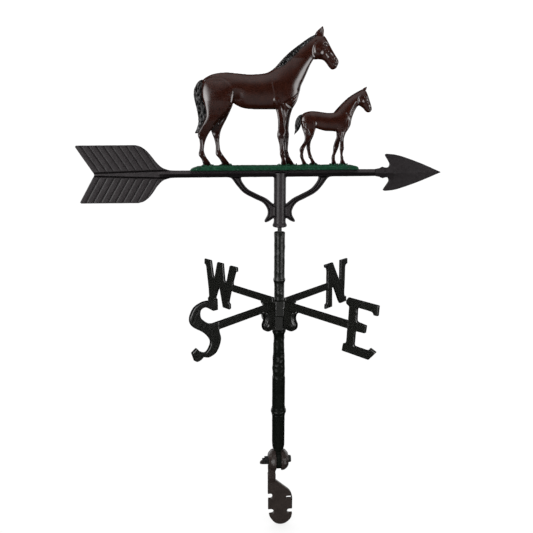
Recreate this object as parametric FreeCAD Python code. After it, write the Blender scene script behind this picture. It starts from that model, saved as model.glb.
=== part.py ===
import FreeCAD, Part

# Roof-mount weather vane with a mare and foal on its arrow, in millimetres.
# +X runs along the arrow towards its head, +Z is up, and the pole stands on X = Y = 0.
# The origin lies on the back face of the front foot, midway between its two rows of screw slots.

import math
import os

from FreeCAD import Vector

# ---- feet and pivot ----
FOOT_BOTTOM = -42.0
FOOT_PLATE_T = 4.5
FOOT_GAP = 0.6
FOOT_ARM_T = 8.0
REAR_FOOT_REST_DEG = 50.0
PIVOT_Z = 87.0
KNUCKLE_R = 17.0
KNUCKLE_FLAT_X = 16.5
TANG_HALF_T = 4.2
TANG_R = 15.0
SIDE_GAP = 0.05
BOLT_R = 3.175
RUNNING_GAP = 0.05
WASHER_R = 6.8
WASHER_T = 1.0
HEX_AF = 11.1
BOLT_HEAD_T = 4.2
NUT_T = 5.5
THREAD_PROUD = 4.0

# ---- poles ----
NECK_Z = 106.0
LOWER_POLE_R = 9.9
LOWER_RING_Z = 180.0
LOWER_RING_R = 12.2
RING_HALF_H = 5.2
WAIST_R = 7.5
COLLAR_Z = 317.0
COLLAR_R = 9.4
HUB_BOTTOM = 324.5
HUB_TOP = 373.0
HUB_SPLIT = 348.0
SPIGOT_R = 6.0
TIE_STUD_R = 4.0
TIE_STUD_LENGTH = 96.0
UPPER_POLE_R = 7.4
UPPER_POLE_TOP = 479.5
UPPER_RING_Z = 405.0
UPPER_RING_R = 8.6
SPINDLE_R = 3.175
SPINDLE_BOTTOM = 446.0
SPINDLE_TOP = 549.0
BALL_R = 3.0

# ---- compass directionals ----
NORTH_DEG = 41.1
EAST_DEG = NORTH_DEG - 90.0
LETTER_BOTTOM = 326.0
LETTER_T = 4.2
ARM_T = 4.6
ARM_LOW = 34.3
ARM_HIGH = 46.0
HUB_HALF_WIDTH = 10.5
STRIP_DEPTH = 3.0
GUSSET_T = 7.0
SET_SCREW_R = 2.5
SET_SCREW_Z = 336.0

# ---- arrow ----
ARROW_Z = 566.0
SHAFT_HALF_H = 5.0
SHAFT_HALF_W = 5.4
SHAFT_TOP_HALF_W = 2.2
SHAFT_START = -172.0
SHAFT_END = 140.0
TAIL_T = 4.6
TAIL_NOTCH_X = -262.5
RIB_HALF_H = 6.4
HUB_TUBE_R = 8.3
HUB_TUBE_BOTTOM = 487.5
BUSHING_R = 5.0
BUSHING_LENGTH = 14.0
BRACE_T = 7.0
HEAD_T = 4.6
HEAD_TIP_X = 240.5
FERRULE_END_X = 162.0
HEAD_STUD_R = 2.5
HEAD_STUD_LENGTH = 40.0

# ---- ornament ----
BASE_TOP = 577.5
BASE_HALF_W = 12.0
ORNAMENT_SCREW_X = (-104.0, -36.0, 98.0)
ORNAMENT_SCREW_R = 1.5
ORNAMENT_SCREW_HEAD_R = 2.9
TENON_R = 1.1
TENON_DEPTH = 3.5
MARE_BODY_T = 20.0
MARE_LEG_T = 8.0
MARE_LEG_Y = 6.0
FOAL_BODY_T = 13.0
FOAL_LEG_T = 5.4
FOAL_LEG_Y = 3.8

UP = Vector(0, 0, 1)
ORIGIN = Vector(0, 0, 0)


# ---------------------------------------------------------------- helpers

def curve_wire(runs):
    """Closed wire in the XZ plane. Each run starts where the last one ended: two points make a
    straight edge and more make one smooth curve through them."""
    edges = []
    for run in runs:
        points = [Vector(x, 0, z) for x, z in run]
        if len(points) == 2:
            edges.append(Part.makeLine(points[0], points[1]))
        else:
            spline = Part.BSplineCurve()
            spline.interpolate(points)
            edges.append(spline.toShape())
    return Part.Wire(edges)


def slab(runs, thickness, y_low=None):
    """Outline extruded along Y, centred on Y = 0 unless y_low says where it starts."""
    start = -thickness / 2 if y_low is None else y_low
    face = Part.Face(curve_wire(runs))
    face.translate(Vector(0, start, 0))
    return face.extrude(Vector(0, thickness, 0))


def corners(points):
    """Runs for a closed outline with straight sides."""
    return [[a, b] for a, b in zip(points, points[1:] + points[:1])]


def shifted(runs, dz, dx=0.0):
    return [[(x + dx, z + dz) for x, z in run] for run in runs]


def mirrored_z(run, middle):
    """Run reflected in the height `middle` and walked backwards."""
    return [(x, 2 * middle - z) for x, z in reversed(run)]


def rod(radius, start, length, direction=UP):
    return Part.makeCylinder(radius, length, start, direction)


def turned(profile):
    """Solid of revolution about Z from (radius, z) points, closed along the axis."""
    points = [Vector(0, 0, profile[0][1])]
    points += [Vector(r, 0, z) for r, z in profile]
    points += [Vector(0, 0, profile[-1][1])]
    wire = Part.makePolygon(points + points[:1])
    return Part.Face(wire).revolve(ORIGIN, UP, 360)


def ring(radius, core, z, half_height):
    """Turned bead of the given outer radius around a core."""
    steps = 8
    profile = []
    for i in range(steps + 1):
        angle = math.pi * (i / steps - 0.5)
        profile.append((core + (radius - core) * math.cos(angle), z + half_height * math.sin(angle)))
    return turned([(core - 1.0, z - half_height)] + profile + [(core - 1.0, z + half_height)])


def hexagon(across_flats, start, length, direction):
    """Hexagonal prism from `start` along `direction`, a unit vector on the X axis."""
    radius = across_flats / math.sqrt(3)
    points = []
    for i in range(6):
        angle = math.radians(60 * i)
        points.append(start + Vector(0, radius * math.sin(angle), radius * math.cos(angle)))
    face = Part.Face(Part.makePolygon(points + points[:1]))
    return face.extrude(direction * length)


def turn_about_x(shape, degrees, pivot):
    out = shape.copy()
    out.rotate(pivot, Vector(1, 0, 0), degrees)
    return out


def turn_about_pole(shape, degrees):
    out = shape.copy()
    out.rotate(ORIGIN, UP, degrees)
    return out


def export(name, shape):
    shape.exportStep(f"parts/{name}.step")


# ---------------------------------------------------------------- feet and pivot

def foot_outline():
    """Front foot seen from in front: arm at the left, shoulder, three open slots, round toe."""
    toe = [(-15.5, -20.5), (-13.0, -28.0), (-5.0, -38.5), (4.5, FOOT_BOTTOM), (14.0, -39.5),
           (22.0, -31.5), (24.5, -22.5)]
    shoulder = [(24.6, 10.0), (23.4, 17.0), (19.0, 26.5), (8.0, 37.0), (-5.0, 49.0)]
    lower_right = [(24.5, -20.5), (18.5, -20.0), (15.5, -15.8), (18.0, -11.6), (24.6, -11.2)]
    lower_left = [(-17.0, -10.0), (-10.5, -10.3), (-7.0, -14.5), (-9.5, -19.0), (-15.5, -20.5)]
    upper_left = [(-17.5, 21.5), (-11.5, 21.3), (-9.4, 16.5), (-11.5, 11.5), (-17.0, 11.0)]
    return [
        [(-17.5, 62.0), (-17.5, 21.5)],
        upper_left,
        [(-17.0, 11.0), (-17.0, -10.0)],
        lower_left,
        toe,
        [(24.5, -22.5), (24.5, -20.5)],
        lower_right,
        [(24.6, -11.2), (24.6, 10.0)],
        shoulder,
        [(-5.0, 49.0), (-5.0, 62.0)],
        [(-5.0, 62.0), (-17.5, 62.0)],
    ]


def foot():
    """Front foot, straight down: plate, closed slot, thicker arm and half-ball knuckle."""
    plate = slab(foot_outline(), FOOT_PLATE_T, -FOOT_PLATE_T)
    slot = slab([[(15.0, 10.5), (22.0, 10.5)], [(22.0, 10.5), (22.8, 12.7), (22.0, 14.9)],
                 [(22.0, 14.9), (15.0, 14.9)], [(15.0, 14.9), (14.2, 12.7), (15.0, 10.5)]], 12.0)
    arm = Part.makeBox(12.5, FOOT_ARM_T, PIVOT_Z - 56.0, Vector(-17.5, -FOOT_ARM_T, 56.0))
    wedge_side = [Vector(-17.5, -FOOT_PLATE_T, 44.0), Vector(-17.5, -FOOT_ARM_T, 56.0),
                  Vector(-17.5, -FOOT_PLATE_T, 56.0)]
    wedge = Part.Face(Part.makePolygon(wedge_side + wedge_side[:1])).extrude(Vector(12.5, 0, 0))
    ball = Part.makeSphere(KNUCKLE_R, Vector(0, 0, PIVOT_Z))
    inner = TANG_HALF_T + SIDE_GAP
    keep = Part.makeBox(KNUCKLE_FLAT_X - inner, 80, 80, Vector(-KNUCKLE_FLAT_X, -40, PIVOT_Z - 40))
    knuckle = ball.common(keep)
    arm = arm.cut(rod(TANG_R + 0.5, Vector(-inner, 0, PIVOT_Z), 2 * inner, Vector(1, 0, 0)))
    solid = plate.cut(slot).fuse([arm, wedge, knuckle])
    bore = rod(BOLT_R + RUNNING_GAP, Vector(-40, 0, PIVOT_Z), 80, Vector(1, 0, 0))
    trim = Part.makeBox(20, 80, 80, Vector(-KNUCKLE_FLAT_X - 20, -40, PIVOT_Z - KNUCKLE_R - 1.0))
    return solid.cut(bore).cut(trim).removeSplitter()


def rear_foot():
    """The front foot turned half round the pole, standing clear of it, then swung back."""
    other = turn_about_pole(foot(), 180)
    other.translate(Vector(0, FOOT_GAP, 0))
    knuckle_shift = Vector(0, -FOOT_GAP, 0)
    plate_part = other.common(Part.makeBox(200, 200, 200,
                                           Vector(-100, -100, PIVOT_Z - KNUCKLE_R - 200)))
    pivot_part = other.common(Part.makeBox(200, 200, 200, Vector(-100, -100, PIVOT_Z - KNUCKLE_R)))
    pivot_part.translate(knuckle_shift)
    joined = plate_part.fuse(pivot_part).removeSplitter()
    return turn_about_x(joined, REAR_FOOT_REST_DEG, Vector(0, 0, PIVOT_Z))


def pivot_bolt():
    seat = KNUCKLE_FLAT_X + WASHER_T
    shank_end = -seat - NUT_T - THREAD_PROUD
    shank = rod(BOLT_R, Vector(shank_end, 0, PIVOT_Z), seat - shank_end, Vector(1, 0, 0))
    head = hexagon(HEX_AF, Vector(seat, 0, PIVOT_Z), BOLT_HEAD_T, Vector(1, 0, 0))
    crown = Part.makeCone(HEX_AF * 0.66, HEX_AF * 0.46, BOLT_HEAD_T, Vector(seat, 0, PIVOT_Z),
                          Vector(1, 0, 0))
    return shank.fuse(head.common(crown))


def pivot_nut():
    start = Vector(-KNUCKLE_FLAT_X - WASHER_T, 0, PIVOT_Z)
    body = hexagon(HEX_AF, start, NUT_T, Vector(-1, 0, 0))
    return body.cut(rod(BOLT_R, start, NUT_T, Vector(-1, 0, 0)))


def pivot_washers():
    washers = []
    for start in (-KNUCKLE_FLAT_X - WASHER_T, KNUCKLE_FLAT_X):
        at = Vector(start, 0, PIVOT_Z)
        disc = rod(WASHER_R, at, WASHER_T, Vector(1, 0, 0))
        washers.append(disc.cut(rod(BOLT_R, at, WASHER_T, Vector(1, 0, 0))))
    return Part.makeCompound(washers)


# ---------------------------------------------------------------- poles and spindle

def lower_pole():
    """Tang, rounded shoulder, beaded pole, waist, collar and the spigot for the directionals."""
    swell = LOWER_POLE_R
    profile = [(6.6, NECK_Z), (8.0, NECK_Z + 1.5), (9.2, NECK_Z + 8.0), (swell, NECK_Z + 15.0),
               (swell, 245.0), (9.3, 262.0), (8.3, 285.0), (WAIST_R, 306.0), (WAIST_R, COLLAR_Z - 3.0),
               (8.6, COLLAR_Z - 1.5), (COLLAR_R, COLLAR_Z + 1.5), (COLLAR_R, HUB_BOTTOM),
               (SPIGOT_R, HUB_BOTTOM), (SPIGOT_R, HUB_TOP)]
    pole = turned(profile).fuse(ring(LOWER_RING_R, swell, LOWER_RING_Z, RING_HALF_H))
    round_end = rod(TANG_R, Vector(-TANG_HALF_T, 0, PIVOT_Z), 2 * TANG_HALF_T, Vector(1, 0, 0))
    web = Part.makeBox(2 * TANG_HALF_T, 13.0, NECK_Z + 2.0 - PIVOT_Z,
                       Vector(-TANG_HALF_T, -6.5, PIVOT_Z))
    bolt_hole = rod(BOLT_R, Vector(-20, 0, PIVOT_Z), 40, Vector(1, 0, 0))
    stud_hole = rod(TIE_STUD_R, Vector(0, 0, HUB_TOP - TIE_STUD_LENGTH / 2 - 22.0), 120.0)
    return pole.fuse([round_end, web]).cut(bolt_hole).cut(stud_hole).removeSplitter()


def tie_stud():
    return rod(TIE_STUD_R, Vector(0, 0, HUB_TOP - TIE_STUD_LENGTH / 2 - 22.0), TIE_STUD_LENGTH)


def upper_pole():
    stud_top = HUB_TOP + TIE_STUD_LENGTH / 2 - 22.0
    top = UPPER_POLE_TOP
    profile = [(UPPER_POLE_R, HUB_TOP), (UPPER_POLE_R, top - 0.8), (UPPER_POLE_R - 0.8, top)]
    pole = turned(profile).fuse(ring(UPPER_RING_R, UPPER_POLE_R, UPPER_RING_Z, RING_HALF_H * 0.75))
    stud_hole = rod(TIE_STUD_R, Vector(0, 0, HUB_TOP - 1), stud_top - HUB_TOP + 1)
    spindle_hole = rod(SPINDLE_R, Vector(0, 0, SPINDLE_BOTTOM), 60)
    return pole.cut(stud_hole).cut(spindle_hole).removeSplitter()


def spindle_pin():
    length = SPINDLE_TOP - SPINDLE_BOTTOM
    return rod(SPINDLE_R, Vector(0, 0, SPINDLE_BOTTOM), length)


def thrust_ball():
    return Part.makeSphere(BALL_R, Vector(0, 0, SPINDLE_TOP + BALL_R))


# ---------------------------------------------------------------- compass directionals

def letter_n():
    return corners([
        (112.0, 80.3), (134.5, 80.3), (152.5, 49.0), (157.5, 46.5), (156.2, 80.3), (176.6, 80.3),
        (177.2, 70.8), (171.0, 67.0), (171.6, 15.0), (178.0, 9.5), (178.4, 0.0), (160.2, 0.0),
        (157.0, 3.5), (140.0, 35.0), (134.8, 35.0), (136.4, 0.0), (117.5, 0.0), (117.5, 8.6),
        (121.8, 11.5), (119.8, 68.5), (113.3, 75.0)])


def letter_s():
    return [
        [(-125.5, 63.5), (-125.5, 79.6)],
        [(-125.5, 79.6), (-136.0, 79.2)],
        [(-136.0, 79.2), (-152.5, 81.0), (-166.5, 76.0), (-173.8, 63.0), (-168.8, 50.5), (-150.0, 36.0),
         (-139.7, 20.5), (-147.5, 8.2), (-158.0, 12.0), (-164.5, 19.0)],
        [(-164.5, 19.0), (-172.6, 14.5)],
        [(-172.6, 14.5), (-168.5, 1.5)],
        [(-168.5, 1.5), (-164.0, -1.2), (-158.0, -0.6), (-153.5, 2.0)],
        [(-153.5, 2.0), (-142.5, -1.5), (-129.5, 2.6), (-121.5, 18.0), (-124.0, 33.0)],
        [(-124.0, 33.0), (-124.0, 46.0)],
        [(-124.0, 46.0), (-135.0, 46.0)],
        [(-135.0, 46.0), (-143.5, 49.0), (-155.0, 59.5), (-155.5, 70.0), (-148.0, 72.6), (-140.0, 68.5),
         (-133.5, 63.8)],
        [(-133.5, 63.8), (-125.5, 63.5)],
    ]


def letter_e():
    return corners([
        (121.5, 0.0), (165.5, 0.0), (176.6, 14.4), (167.5, 18.0), (161.5, 13.0), (144.0, 13.0),
        (141.6, 15.5), (142.2, 32.5), (145.0, 35.6), (156.5, 36.4), (158.6, 39.0), (159.6, 48.2),
        (147.5, 49.2), (144.0, 53.0), (144.0, 66.0), (147.5, 70.2), (165.8, 69.8), (169.8, 65.8),
        (174.6, 65.8), (176.6, 68.4), (177.0, 80.8), (128.6, 80.8), (125.5, 76.0), (126.2, 71.0),
        (130.6, 68.6), (130.2, 50.0), (129.0, 32.0), (128.4, 16.0), (123.0, 11.5)])


def letter_w():
    return corners([
        (-177.2, 80.5), (-160.0, 80.5), (-155.5, 53.0), (-153.5, 50.8), (-151.2, 53.0), (-143.6, 79.5),
        (-142.2, 80.5), (-128.6, 80.5), (-126.0, 52.0), (-124.0, 48.8), (-120.2, 52.0), (-111.8, 79.6),
        (-110.2, 80.3), (-93.6, 80.3), (-93.6, 72.6), (-98.6, 69.8), (-104.6, 53.0), (-104.6, 40.0),
        (-110.5, 34.5), (-116.2, 14.0), (-113.0, 11.8), (-112.8, 3.6), (-115.0, 1.0), (-131.6, 1.0),
        (-139.2, 35.0), (-141.6, 35.0), (-150.4, 14.5), (-148.6, 10.0), (-148.6, 0.0), (-170.6, 0.0),
        (-171.6, 10.0), (-168.0, 14.0), (-168.2, 26.0), (-173.2, 67.0), (-178.0, 71.5)])


def gusset():
    """Scroll under an arm, on its +X side, with a round bulb at its foot."""
    return slab([
        [(9.0, LETTER_BOTTOM + ARM_LOW + 2.0), (38.0, LETTER_BOTTOM + ARM_LOW + 2.0)],
        [(38.0, LETTER_BOTTOM + ARM_LOW + 2.0), (38.0, LETTER_BOTTOM + ARM_LOW)],
        [(38.0, LETTER_BOTTOM + ARM_LOW), (34.6, 357.0), (33.0, 352.5), (33.4, 347.6)],
        [(33.4, 347.6), (36.6, 341.5), (35.6, 334.5), (30.5, 329.4), (24.0, 327.6), (17.5, 328.4)],
        [(17.5, 328.4), (9.0, 328.4)],
        [(9.0, 328.4), (9.0, LETTER_BOTTOM + ARM_LOW + 2.0)],
    ], GUSSET_T)


def hub_block(low, high):
    """Square column with its corners on the four arms, which lie along X and Y here."""
    side = 2 * HUB_HALF_WIDTH
    block = Part.makeBox(side, side, high - low, Vector(-HUB_HALF_WIDTH, -HUB_HALF_WIDTH, low))
    return turn_about_pole(block, 45)


def corner_zone(low, high):
    """Space beyond the strip depth at the two corners of the column that lie on X."""
    reach = HUB_HALF_WIDTH * math.sqrt(2) - STRIP_DEPTH
    zones = []
    for start in (reach, -reach - 20.0):
        zones.append(Part.makeBox(20.0, 40.0, high - low, Vector(start, -20.0, low)))
    return zones[0].fuse(zones[1])


def directional(letters, arm_ends, low_block):
    """One casting: two letters on a flat arm, two gussets and its half of the interlocking hub.
    It lies in the XZ plane here, before it is turned to its bearing."""
    end_low, end_high = arm_ends
    arm_height = ARM_HIGH - ARM_LOW
    corner = Vector(end_low, -ARM_T / 2, LETTER_BOTTOM + ARM_LOW)
    arm = Part.makeBox(end_high - end_low, ARM_T, arm_height, corner)
    pieces = [slab(shifted(letter, LETTER_BOTTOM), LETTER_T) for letter in letters]
    pieces += [gusset(), turn_about_pole(gusset(), 180)]
    low, high = HUB_BOTTOM + SIDE_GAP, HUB_TOP - SIDE_GAP
    own = (low, HUB_SPLIT) if low_block else (HUB_SPLIT, high)
    other = (HUB_SPLIT, high) if low_block else (low, HUB_SPLIT)
    square = hub_block(low, high)
    pieces.append(hub_block(*own).cut(turn_about_pole(corner_zone(*own), 90)))
    pieces.append(hub_block(*other).common(corner_zone(*other)))
    inside = hub_block(*other).cut(corner_zone(*other))
    cross_zone = turn_about_pole(corner_zone(*own), 90).common(square)
    solid = arm.fuse(pieces).cut(inside).cut(cross_zone)
    bore = rod(SPIGOT_R + RUNNING_GAP, Vector(0, 0, low - 1), high - low + 2)
    return solid.cut(bore).removeSplitter()


def set_screw_hole():
    """Radial hole through the back of the lower hub block, square to its face."""
    back = math.radians(NORTH_DEG + 45.0)
    direction = Vector(math.cos(back), math.sin(back), 0)
    start = Vector(0, 0, SET_SCREW_Z) + direction * (SPIGOT_R + RUNNING_GAP)
    return rod(SET_SCREW_R, start, HUB_HALF_WIDTH - SPIGOT_R - RUNNING_GAP, direction)


def set_screw():
    """Grub screw in that hole with a hex socket in its outer end."""
    back = math.radians(NORTH_DEG + 45.0)
    direction = Vector(math.cos(back), math.sin(back), 0)
    socket_start = Vector(0, 0, SET_SCREW_Z) + direction * (HUB_HALF_WIDTH - 1.8)
    socket = rod(1.35, socket_start, 4.0, direction)
    return set_screw_hole().cut(socket)


# ---------------------------------------------------------------- arrow

def shaft_section(x, scale=1.0):
    """Six-sided section of the shaft: a ridge at each side and narrow flats on top and below."""
    half_w, half_h, flat = SHAFT_HALF_W * scale, SHAFT_HALF_H * scale, SHAFT_TOP_HALF_W * scale
    points = [Vector(x, -half_w, ARROW_Z), Vector(x, -flat, ARROW_Z + half_h),
              Vector(x, flat, ARROW_Z + half_h), Vector(x, half_w, ARROW_Z),
              Vector(x, flat, ARROW_Z - half_h), Vector(x, -flat, ARROW_Z - half_h)]
    return Part.makePolygon(points + points[:1])


def tail_outline():
    """Fletching: straight edge, round shoulder and a hollow curve into the shaft, both sides."""
    edge = [(-284.0, 40.2), (-204.0, 40.6)]
    shoulder = [(-204.0, 40.6), (-196.5, 38.4), (-189.0, 33.0), (-182.5, 25.4), (-176.0, 16.6),
                (-168.0, 9.0), (-158.0, 5.4)]
    back = [(TAIL_NOTCH_X, 0.0), (-285.6, 38.0)]
    corner = [(-285.6, 38.0), (-285.8, 39.6), (-284.0, 40.2)]
    upper = [back, corner, edge, shoulder]
    lower = [mirrored_z(run, 0.0) for run in reversed(upper)]
    closing = [[(-158.0, 5.4), (-158.0, -5.4)]]
    return shifted(upper + closing + lower, ARROW_Z)


def brace_outline():
    """S-shaped brace from the hub's foot up to the shaft, ending in a leaf tip, on the +X side."""
    outer = [(79.0, -3.0), (70.5, -6.5), (63.0, -16.5), (53.0, -27.5), (38.0, -35.8), (25.0, -42.5),
             (18.6, -52.0), (18.2, -60.5), (22.6, -69.4)]
    tip = [(22.6, -69.4), (21.4, -71.2), (16.0, -69.6), (9.8, -65.6), (6.0, -65.6)]
    inner = [(6.0, -44.8), (9.0, -44.8), (19.5, -36.6), (34.0, -29.4), (46.5, -22.4), (54.5, -12.5),
             (56.8, -6.0), (56.0, -3.0)]
    outline = [outer, tip, [(6.0, -65.6), (6.0, -44.8)], inner, [(56.0, -3.0), (79.0, -3.0)]]
    return shifted(outline, ARROW_Z)


def tail():
    plate = slab(tail_outline(), TAIL_T)
    rib = Part.makeLoft([shaft_section(TAIL_NOTCH_X + 1.0, 0.2),
                         shaft_section(SHAFT_START, RIB_HALF_H / SHAFT_HALF_H)],
                        True)
    neck = Part.makeLoft([shaft_section(SHAFT_START, RIB_HALF_H / SHAFT_HALF_H),
                          shaft_section(-155.0)], True)
    return [plate, rib, neck]


def hub_tube():
    foot_r = 10.3
    profile = [(foot_r - 1.4, HUB_TUBE_BOTTOM), (foot_r, HUB_TUBE_BOTTOM + 1.6),
               (foot_r, HUB_TUBE_BOTTOM + 3.4), (foot_r - 1.6, HUB_TUBE_BOTTOM + 6.0),
               (HUB_TUBE_R, HUB_TUBE_BOTTOM + 8.0), (HUB_TUBE_R, ARROW_Z - 2.0)]
    return turned(profile)


def hub_cavity():
    """Stepped blind hole: wide for the bushings, narrow above for the thrust ball."""
    wide = rod(BUSHING_R, Vector(0, 0, HUB_TUBE_BOTTOM - 1), SPINDLE_TOP - HUB_TUBE_BOTTOM + 1)
    ball_space = rod(BALL_R + 0.3, Vector(0, 0, SPINDLE_TOP - 1), 2 * BALL_R + 1.02)
    return wide.fuse(ball_space)


def arrow_frame():
    """One casting: fletched tail, shaft, hub tube and its two braces."""
    shaft = Part.Face(shaft_section(-156.0)).extrude(Vector(SHAFT_END + 156.0, 0, 0))
    brace = slab(brace_outline(), BRACE_T)
    brace_left = brace.mirror(ORIGIN, Vector(1, 0, 0))
    solid = shaft.fuse(tail() + [hub_tube(), brace, brace_left])
    stud_hole = rod(HEAD_STUD_R, Vector(SHAFT_END - HEAD_STUD_LENGTH / 2, 0, ARROW_Z), 40,
                    Vector(1, 0, 0))
    return solid.cut(hub_cavity()).cut(stud_hole).cut(screw_holes()).removeSplitter()


def hub_bushings():
    rings = []
    for start in (HUB_TUBE_BOTTOM + 1.0, SPINDLE_TOP - BUSHING_LENGTH):
        at = Vector(0, 0, start)
        outer = rod(BUSHING_R, at, BUSHING_LENGTH)
        rings.append(outer.cut(rod(SPINDLE_R + RUNNING_GAP, at, BUSHING_LENGTH)))
    return Part.makeCompound(rings)


def head_outline():
    """Broad arrowhead with hooked barbs and slightly bowed cutting edges."""
    back = [(FERRULE_END_X - 2.0, 7.0), (FERRULE_END_X - 0.4, 9.4), (FERRULE_END_X - 0.4, 12.6),
            (161.0, 14.6)]
    hook = [(161.0, 14.6), (154.4, 24.6)]
    barb = [(154.4, 24.6), (154.6, 26.4), (157.0, 27.0)]
    edge = [(157.0, 27.0), (180.0, 23.3), (210.0, 12.6), (HEAD_TIP_X, 0.0)]
    upper = [back, hook, barb, edge]
    lower = [mirrored_z(run, 0.0) for run in reversed(upper)]
    closing = [[(FERRULE_END_X - 2.0, -7.0), (FERRULE_END_X - 2.0, 7.0)]]
    return shifted(upper + lower + closing, ARROW_Z)


def arrow_head():
    """Head casting: socket ferrule with a bead, flat blade and a tapering central ridge."""
    blade = slab(head_outline(), HEAD_T)
    stations = [(SHAFT_END, 1.0), (148.0, 1.3), (152.0, 1.62), (156.0, 1.36), (FERRULE_END_X, 1.3)]
    ferrule = []
    for (x0, s0), (x1, s1) in zip(stations, stations[1:]):
        ferrule.append(Part.makeLoft([shaft_section(x0, s0), shaft_section(x1, s1)], True, True))
    ridge = Part.makeLoft([shaft_section(FERRULE_END_X, 1.0), shaft_section(HEAD_TIP_X - 6.0, 0.35)],
                          True, True)
    stud_hole = rod(HEAD_STUD_R, Vector(SHAFT_END - 1, 0, ARROW_Z), HEAD_STUD_LENGTH / 2 + 1,
                    Vector(1, 0, 0))
    return blade.fuse(ferrule + [ridge]).cut(stud_hole).removeSplitter()


def arrow_head_stud():
    return rod(HEAD_STUD_R, Vector(SHAFT_END - HEAD_STUD_LENGTH / 2, 0, ARROW_Z), HEAD_STUD_LENGTH,
               Vector(1, 0, 0))


# ---------------------------------------------------------------- ornament

def ornament_screw_at(x):
    """Countersunk screw from under the shaft up into the base."""
    bottom = ARROW_Z - SHAFT_HALF_H
    head_h = ORNAMENT_SCREW_HEAD_R - ORNAMENT_SCREW_R
    head = Part.makeCone(ORNAMENT_SCREW_HEAD_R, ORNAMENT_SCREW_R, head_h, Vector(x, 0, bottom))
    return head.fuse(rod(ORNAMENT_SCREW_R, Vector(x, 0, bottom),
                         BASE_TOP - 2.0 - bottom)).removeSplitter()


def screw_holes():
    return Part.makeCompound([ornament_screw_at(x) for x in ORNAMENT_SCREW_X])


def ornament_screws():
    return Part.makeCompound([ornament_screw_at(x) for x in ORNAMENT_SCREW_X])


def base_outline():
    """Turf strip on the shaft: thin pointed end at the left, blunt round end at the right."""
    low = ARROW_Z + SHAFT_HALF_H
    return [
        [(-129.0, low), (113.5, low)],
        [(113.5, low), (113.0, low + 3.2), (110.0, BASE_TOP - 1.2), (98.0, BASE_TOP)],
        [(98.0, BASE_TOP), (-112.0, BASE_TOP)],
        [(-112.0, BASE_TOP), (-120.0, BASE_TOP - 1.2), (-126.0, BASE_TOP - 3.0), (-129.0, low + 1.2)],
        [(-129.0, low + 1.2), (-129.0, low)],
    ]


def ornament_base():
    solid = slab(base_outline(), 2 * BASE_HALF_W).cut(screw_holes())
    for pins in (mare_tenons(), foal_tenons()):
        solid = solid.cut(pins)
    return solid.removeSplitter()


def tenons(places):
    """Pins under the hooves, given as (x, y)."""
    pins = [rod(TENON_R, Vector(x, y, BASE_TOP - TENON_DEPTH), TENON_DEPTH) for x, y in places]
    return Part.makeCompound(pins)


def mare_tenons():
    return tenons([(-78.0, MARE_LEG_Y), (-104.0, -MARE_LEG_Y), (5.0, -MARE_LEG_Y), (15.0, MARE_LEG_Y)])


def foal_tenons():
    return tenons([(36.0, -FOAL_LEG_Y), (49.0, FOAL_LEG_Y), (79.5, FOAL_LEG_Y), (92.0, -FOAL_LEG_Y)])


def figure(body, legs, body_t, leg_t, leg_y):
    """Flat-backed animal: one body slab and leg slabs that stand to either side of the middle."""
    solid = slab(shifted(body, BASE_TOP), body_t)
    parts = []
    for side, runs in legs:
        parts.append(slab(shifted(runs, BASE_TOP), leg_t, side * leg_y - leg_t / 2))
    return solid.fuse(parts)


def mare_body():
    """Head, neck, trunk and tail of the mare, heights above the turf."""
    face = [(57.5, 174.5), (64.0, 167.0), (76.0, 148.5), (80.6, 141.0), (79.0, 133.5), (73.0, 129.8),
            (67.0, 134.0), (60.0, 141.5), (45.5, 143.5)]
    throat = [(45.5, 143.5), (37.0, 127.0), (30.0, 110.5), (25.5, 94.5), (17.5, 77.5)]
    belly = [(-8.0, 77.0), (-30.0, 76.5), (-50.0, 78.2), (-67.0, 84.5)]
    tail = [(-104.0, 60.0), (-112.0, 45.0), (-120.5, 45.0), (-115.0, 65.0), (-120.5, 98.5),
            (-114.5, 111.4), (-100.0, 120.6)]
    back = [(-100.0, 120.6), (-76.0, 125.5), (-42.0, 123.4), (-12.0, 128.5)]
    crest = [(-12.0, 128.5), (0.0, 142.0), (22.0, 160.2), (46.5, 174.5)]
    ear = [(46.5, 174.5), (55.5, 184.6)]
    return [face, throat, [(17.5, 77.5), (-8.0, 77.0)], belly, [(-67.0, 84.5), (-104.0, 60.0)], tail,
            back, crest, ear, [(55.5, 184.6), (57.5, 174.5)]]


def mare_leg(kind):
    """Outlines of the mare's four legs, each reaching up into the body."""
    return {
        "near_fore": corners([(-8.0, 84.0), (9.0, 84.0), (7.6, 55.0), (5.6, 40.0), (5.4, 18.0),
                              (10.0, 0.0), (0.8, 0.0), (-1.2, 20.0), (-5.2, 42.0), (-4.0, 62.0)]),
        "far_fore": corners([(2.0, 84.0), (17.0, 80.0), (13.5, 62.0), (12.6, 40.0), (12.0, 18.0),
                             (16.0, 10.0), (22.0, 0.0), (9.6, 0.0), (6.0, 18.0), (5.4, 40.0)]),
        "near_hind": corners([(-113.0, 84.0), (-86.0, 76.0), (-98.0, 48.0), (-106.0, 34.0),
                              (-108.6, 20.0), (-106.0, 12.0), (-98.0, 0.0), (-110.6, 0.0),
                              (-116.0, 16.5), (-114.4, 30.0), (-116.0, 45.0), (-115.0, 60.0)]),
        "far_hind": corners([(-103.0, 96.0), (-67.0, 84.5), (-74.0, 66.0), (-84.0, 48.0), (-86.0, 30.0),
                             (-84.5, 19.5), (-79.0, 11.0), (-71.0, 0.0), (-84.0, 0.0), (-92.0, 16.0),
                             (-92.6, 28.0), (-97.5, 48.0)]),
    }[kind]


def mare():
    legs = [(-1, mare_leg("near_fore")), (1, mare_leg("far_fore")), (-1, mare_leg("near_hind")),
            (1, mare_leg("far_hind"))]
    return figure(mare_body(), legs, MARE_BODY_T, MARE_LEG_T,
                  MARE_LEG_Y).fuse(mare_tenons()).removeSplitter()


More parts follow.
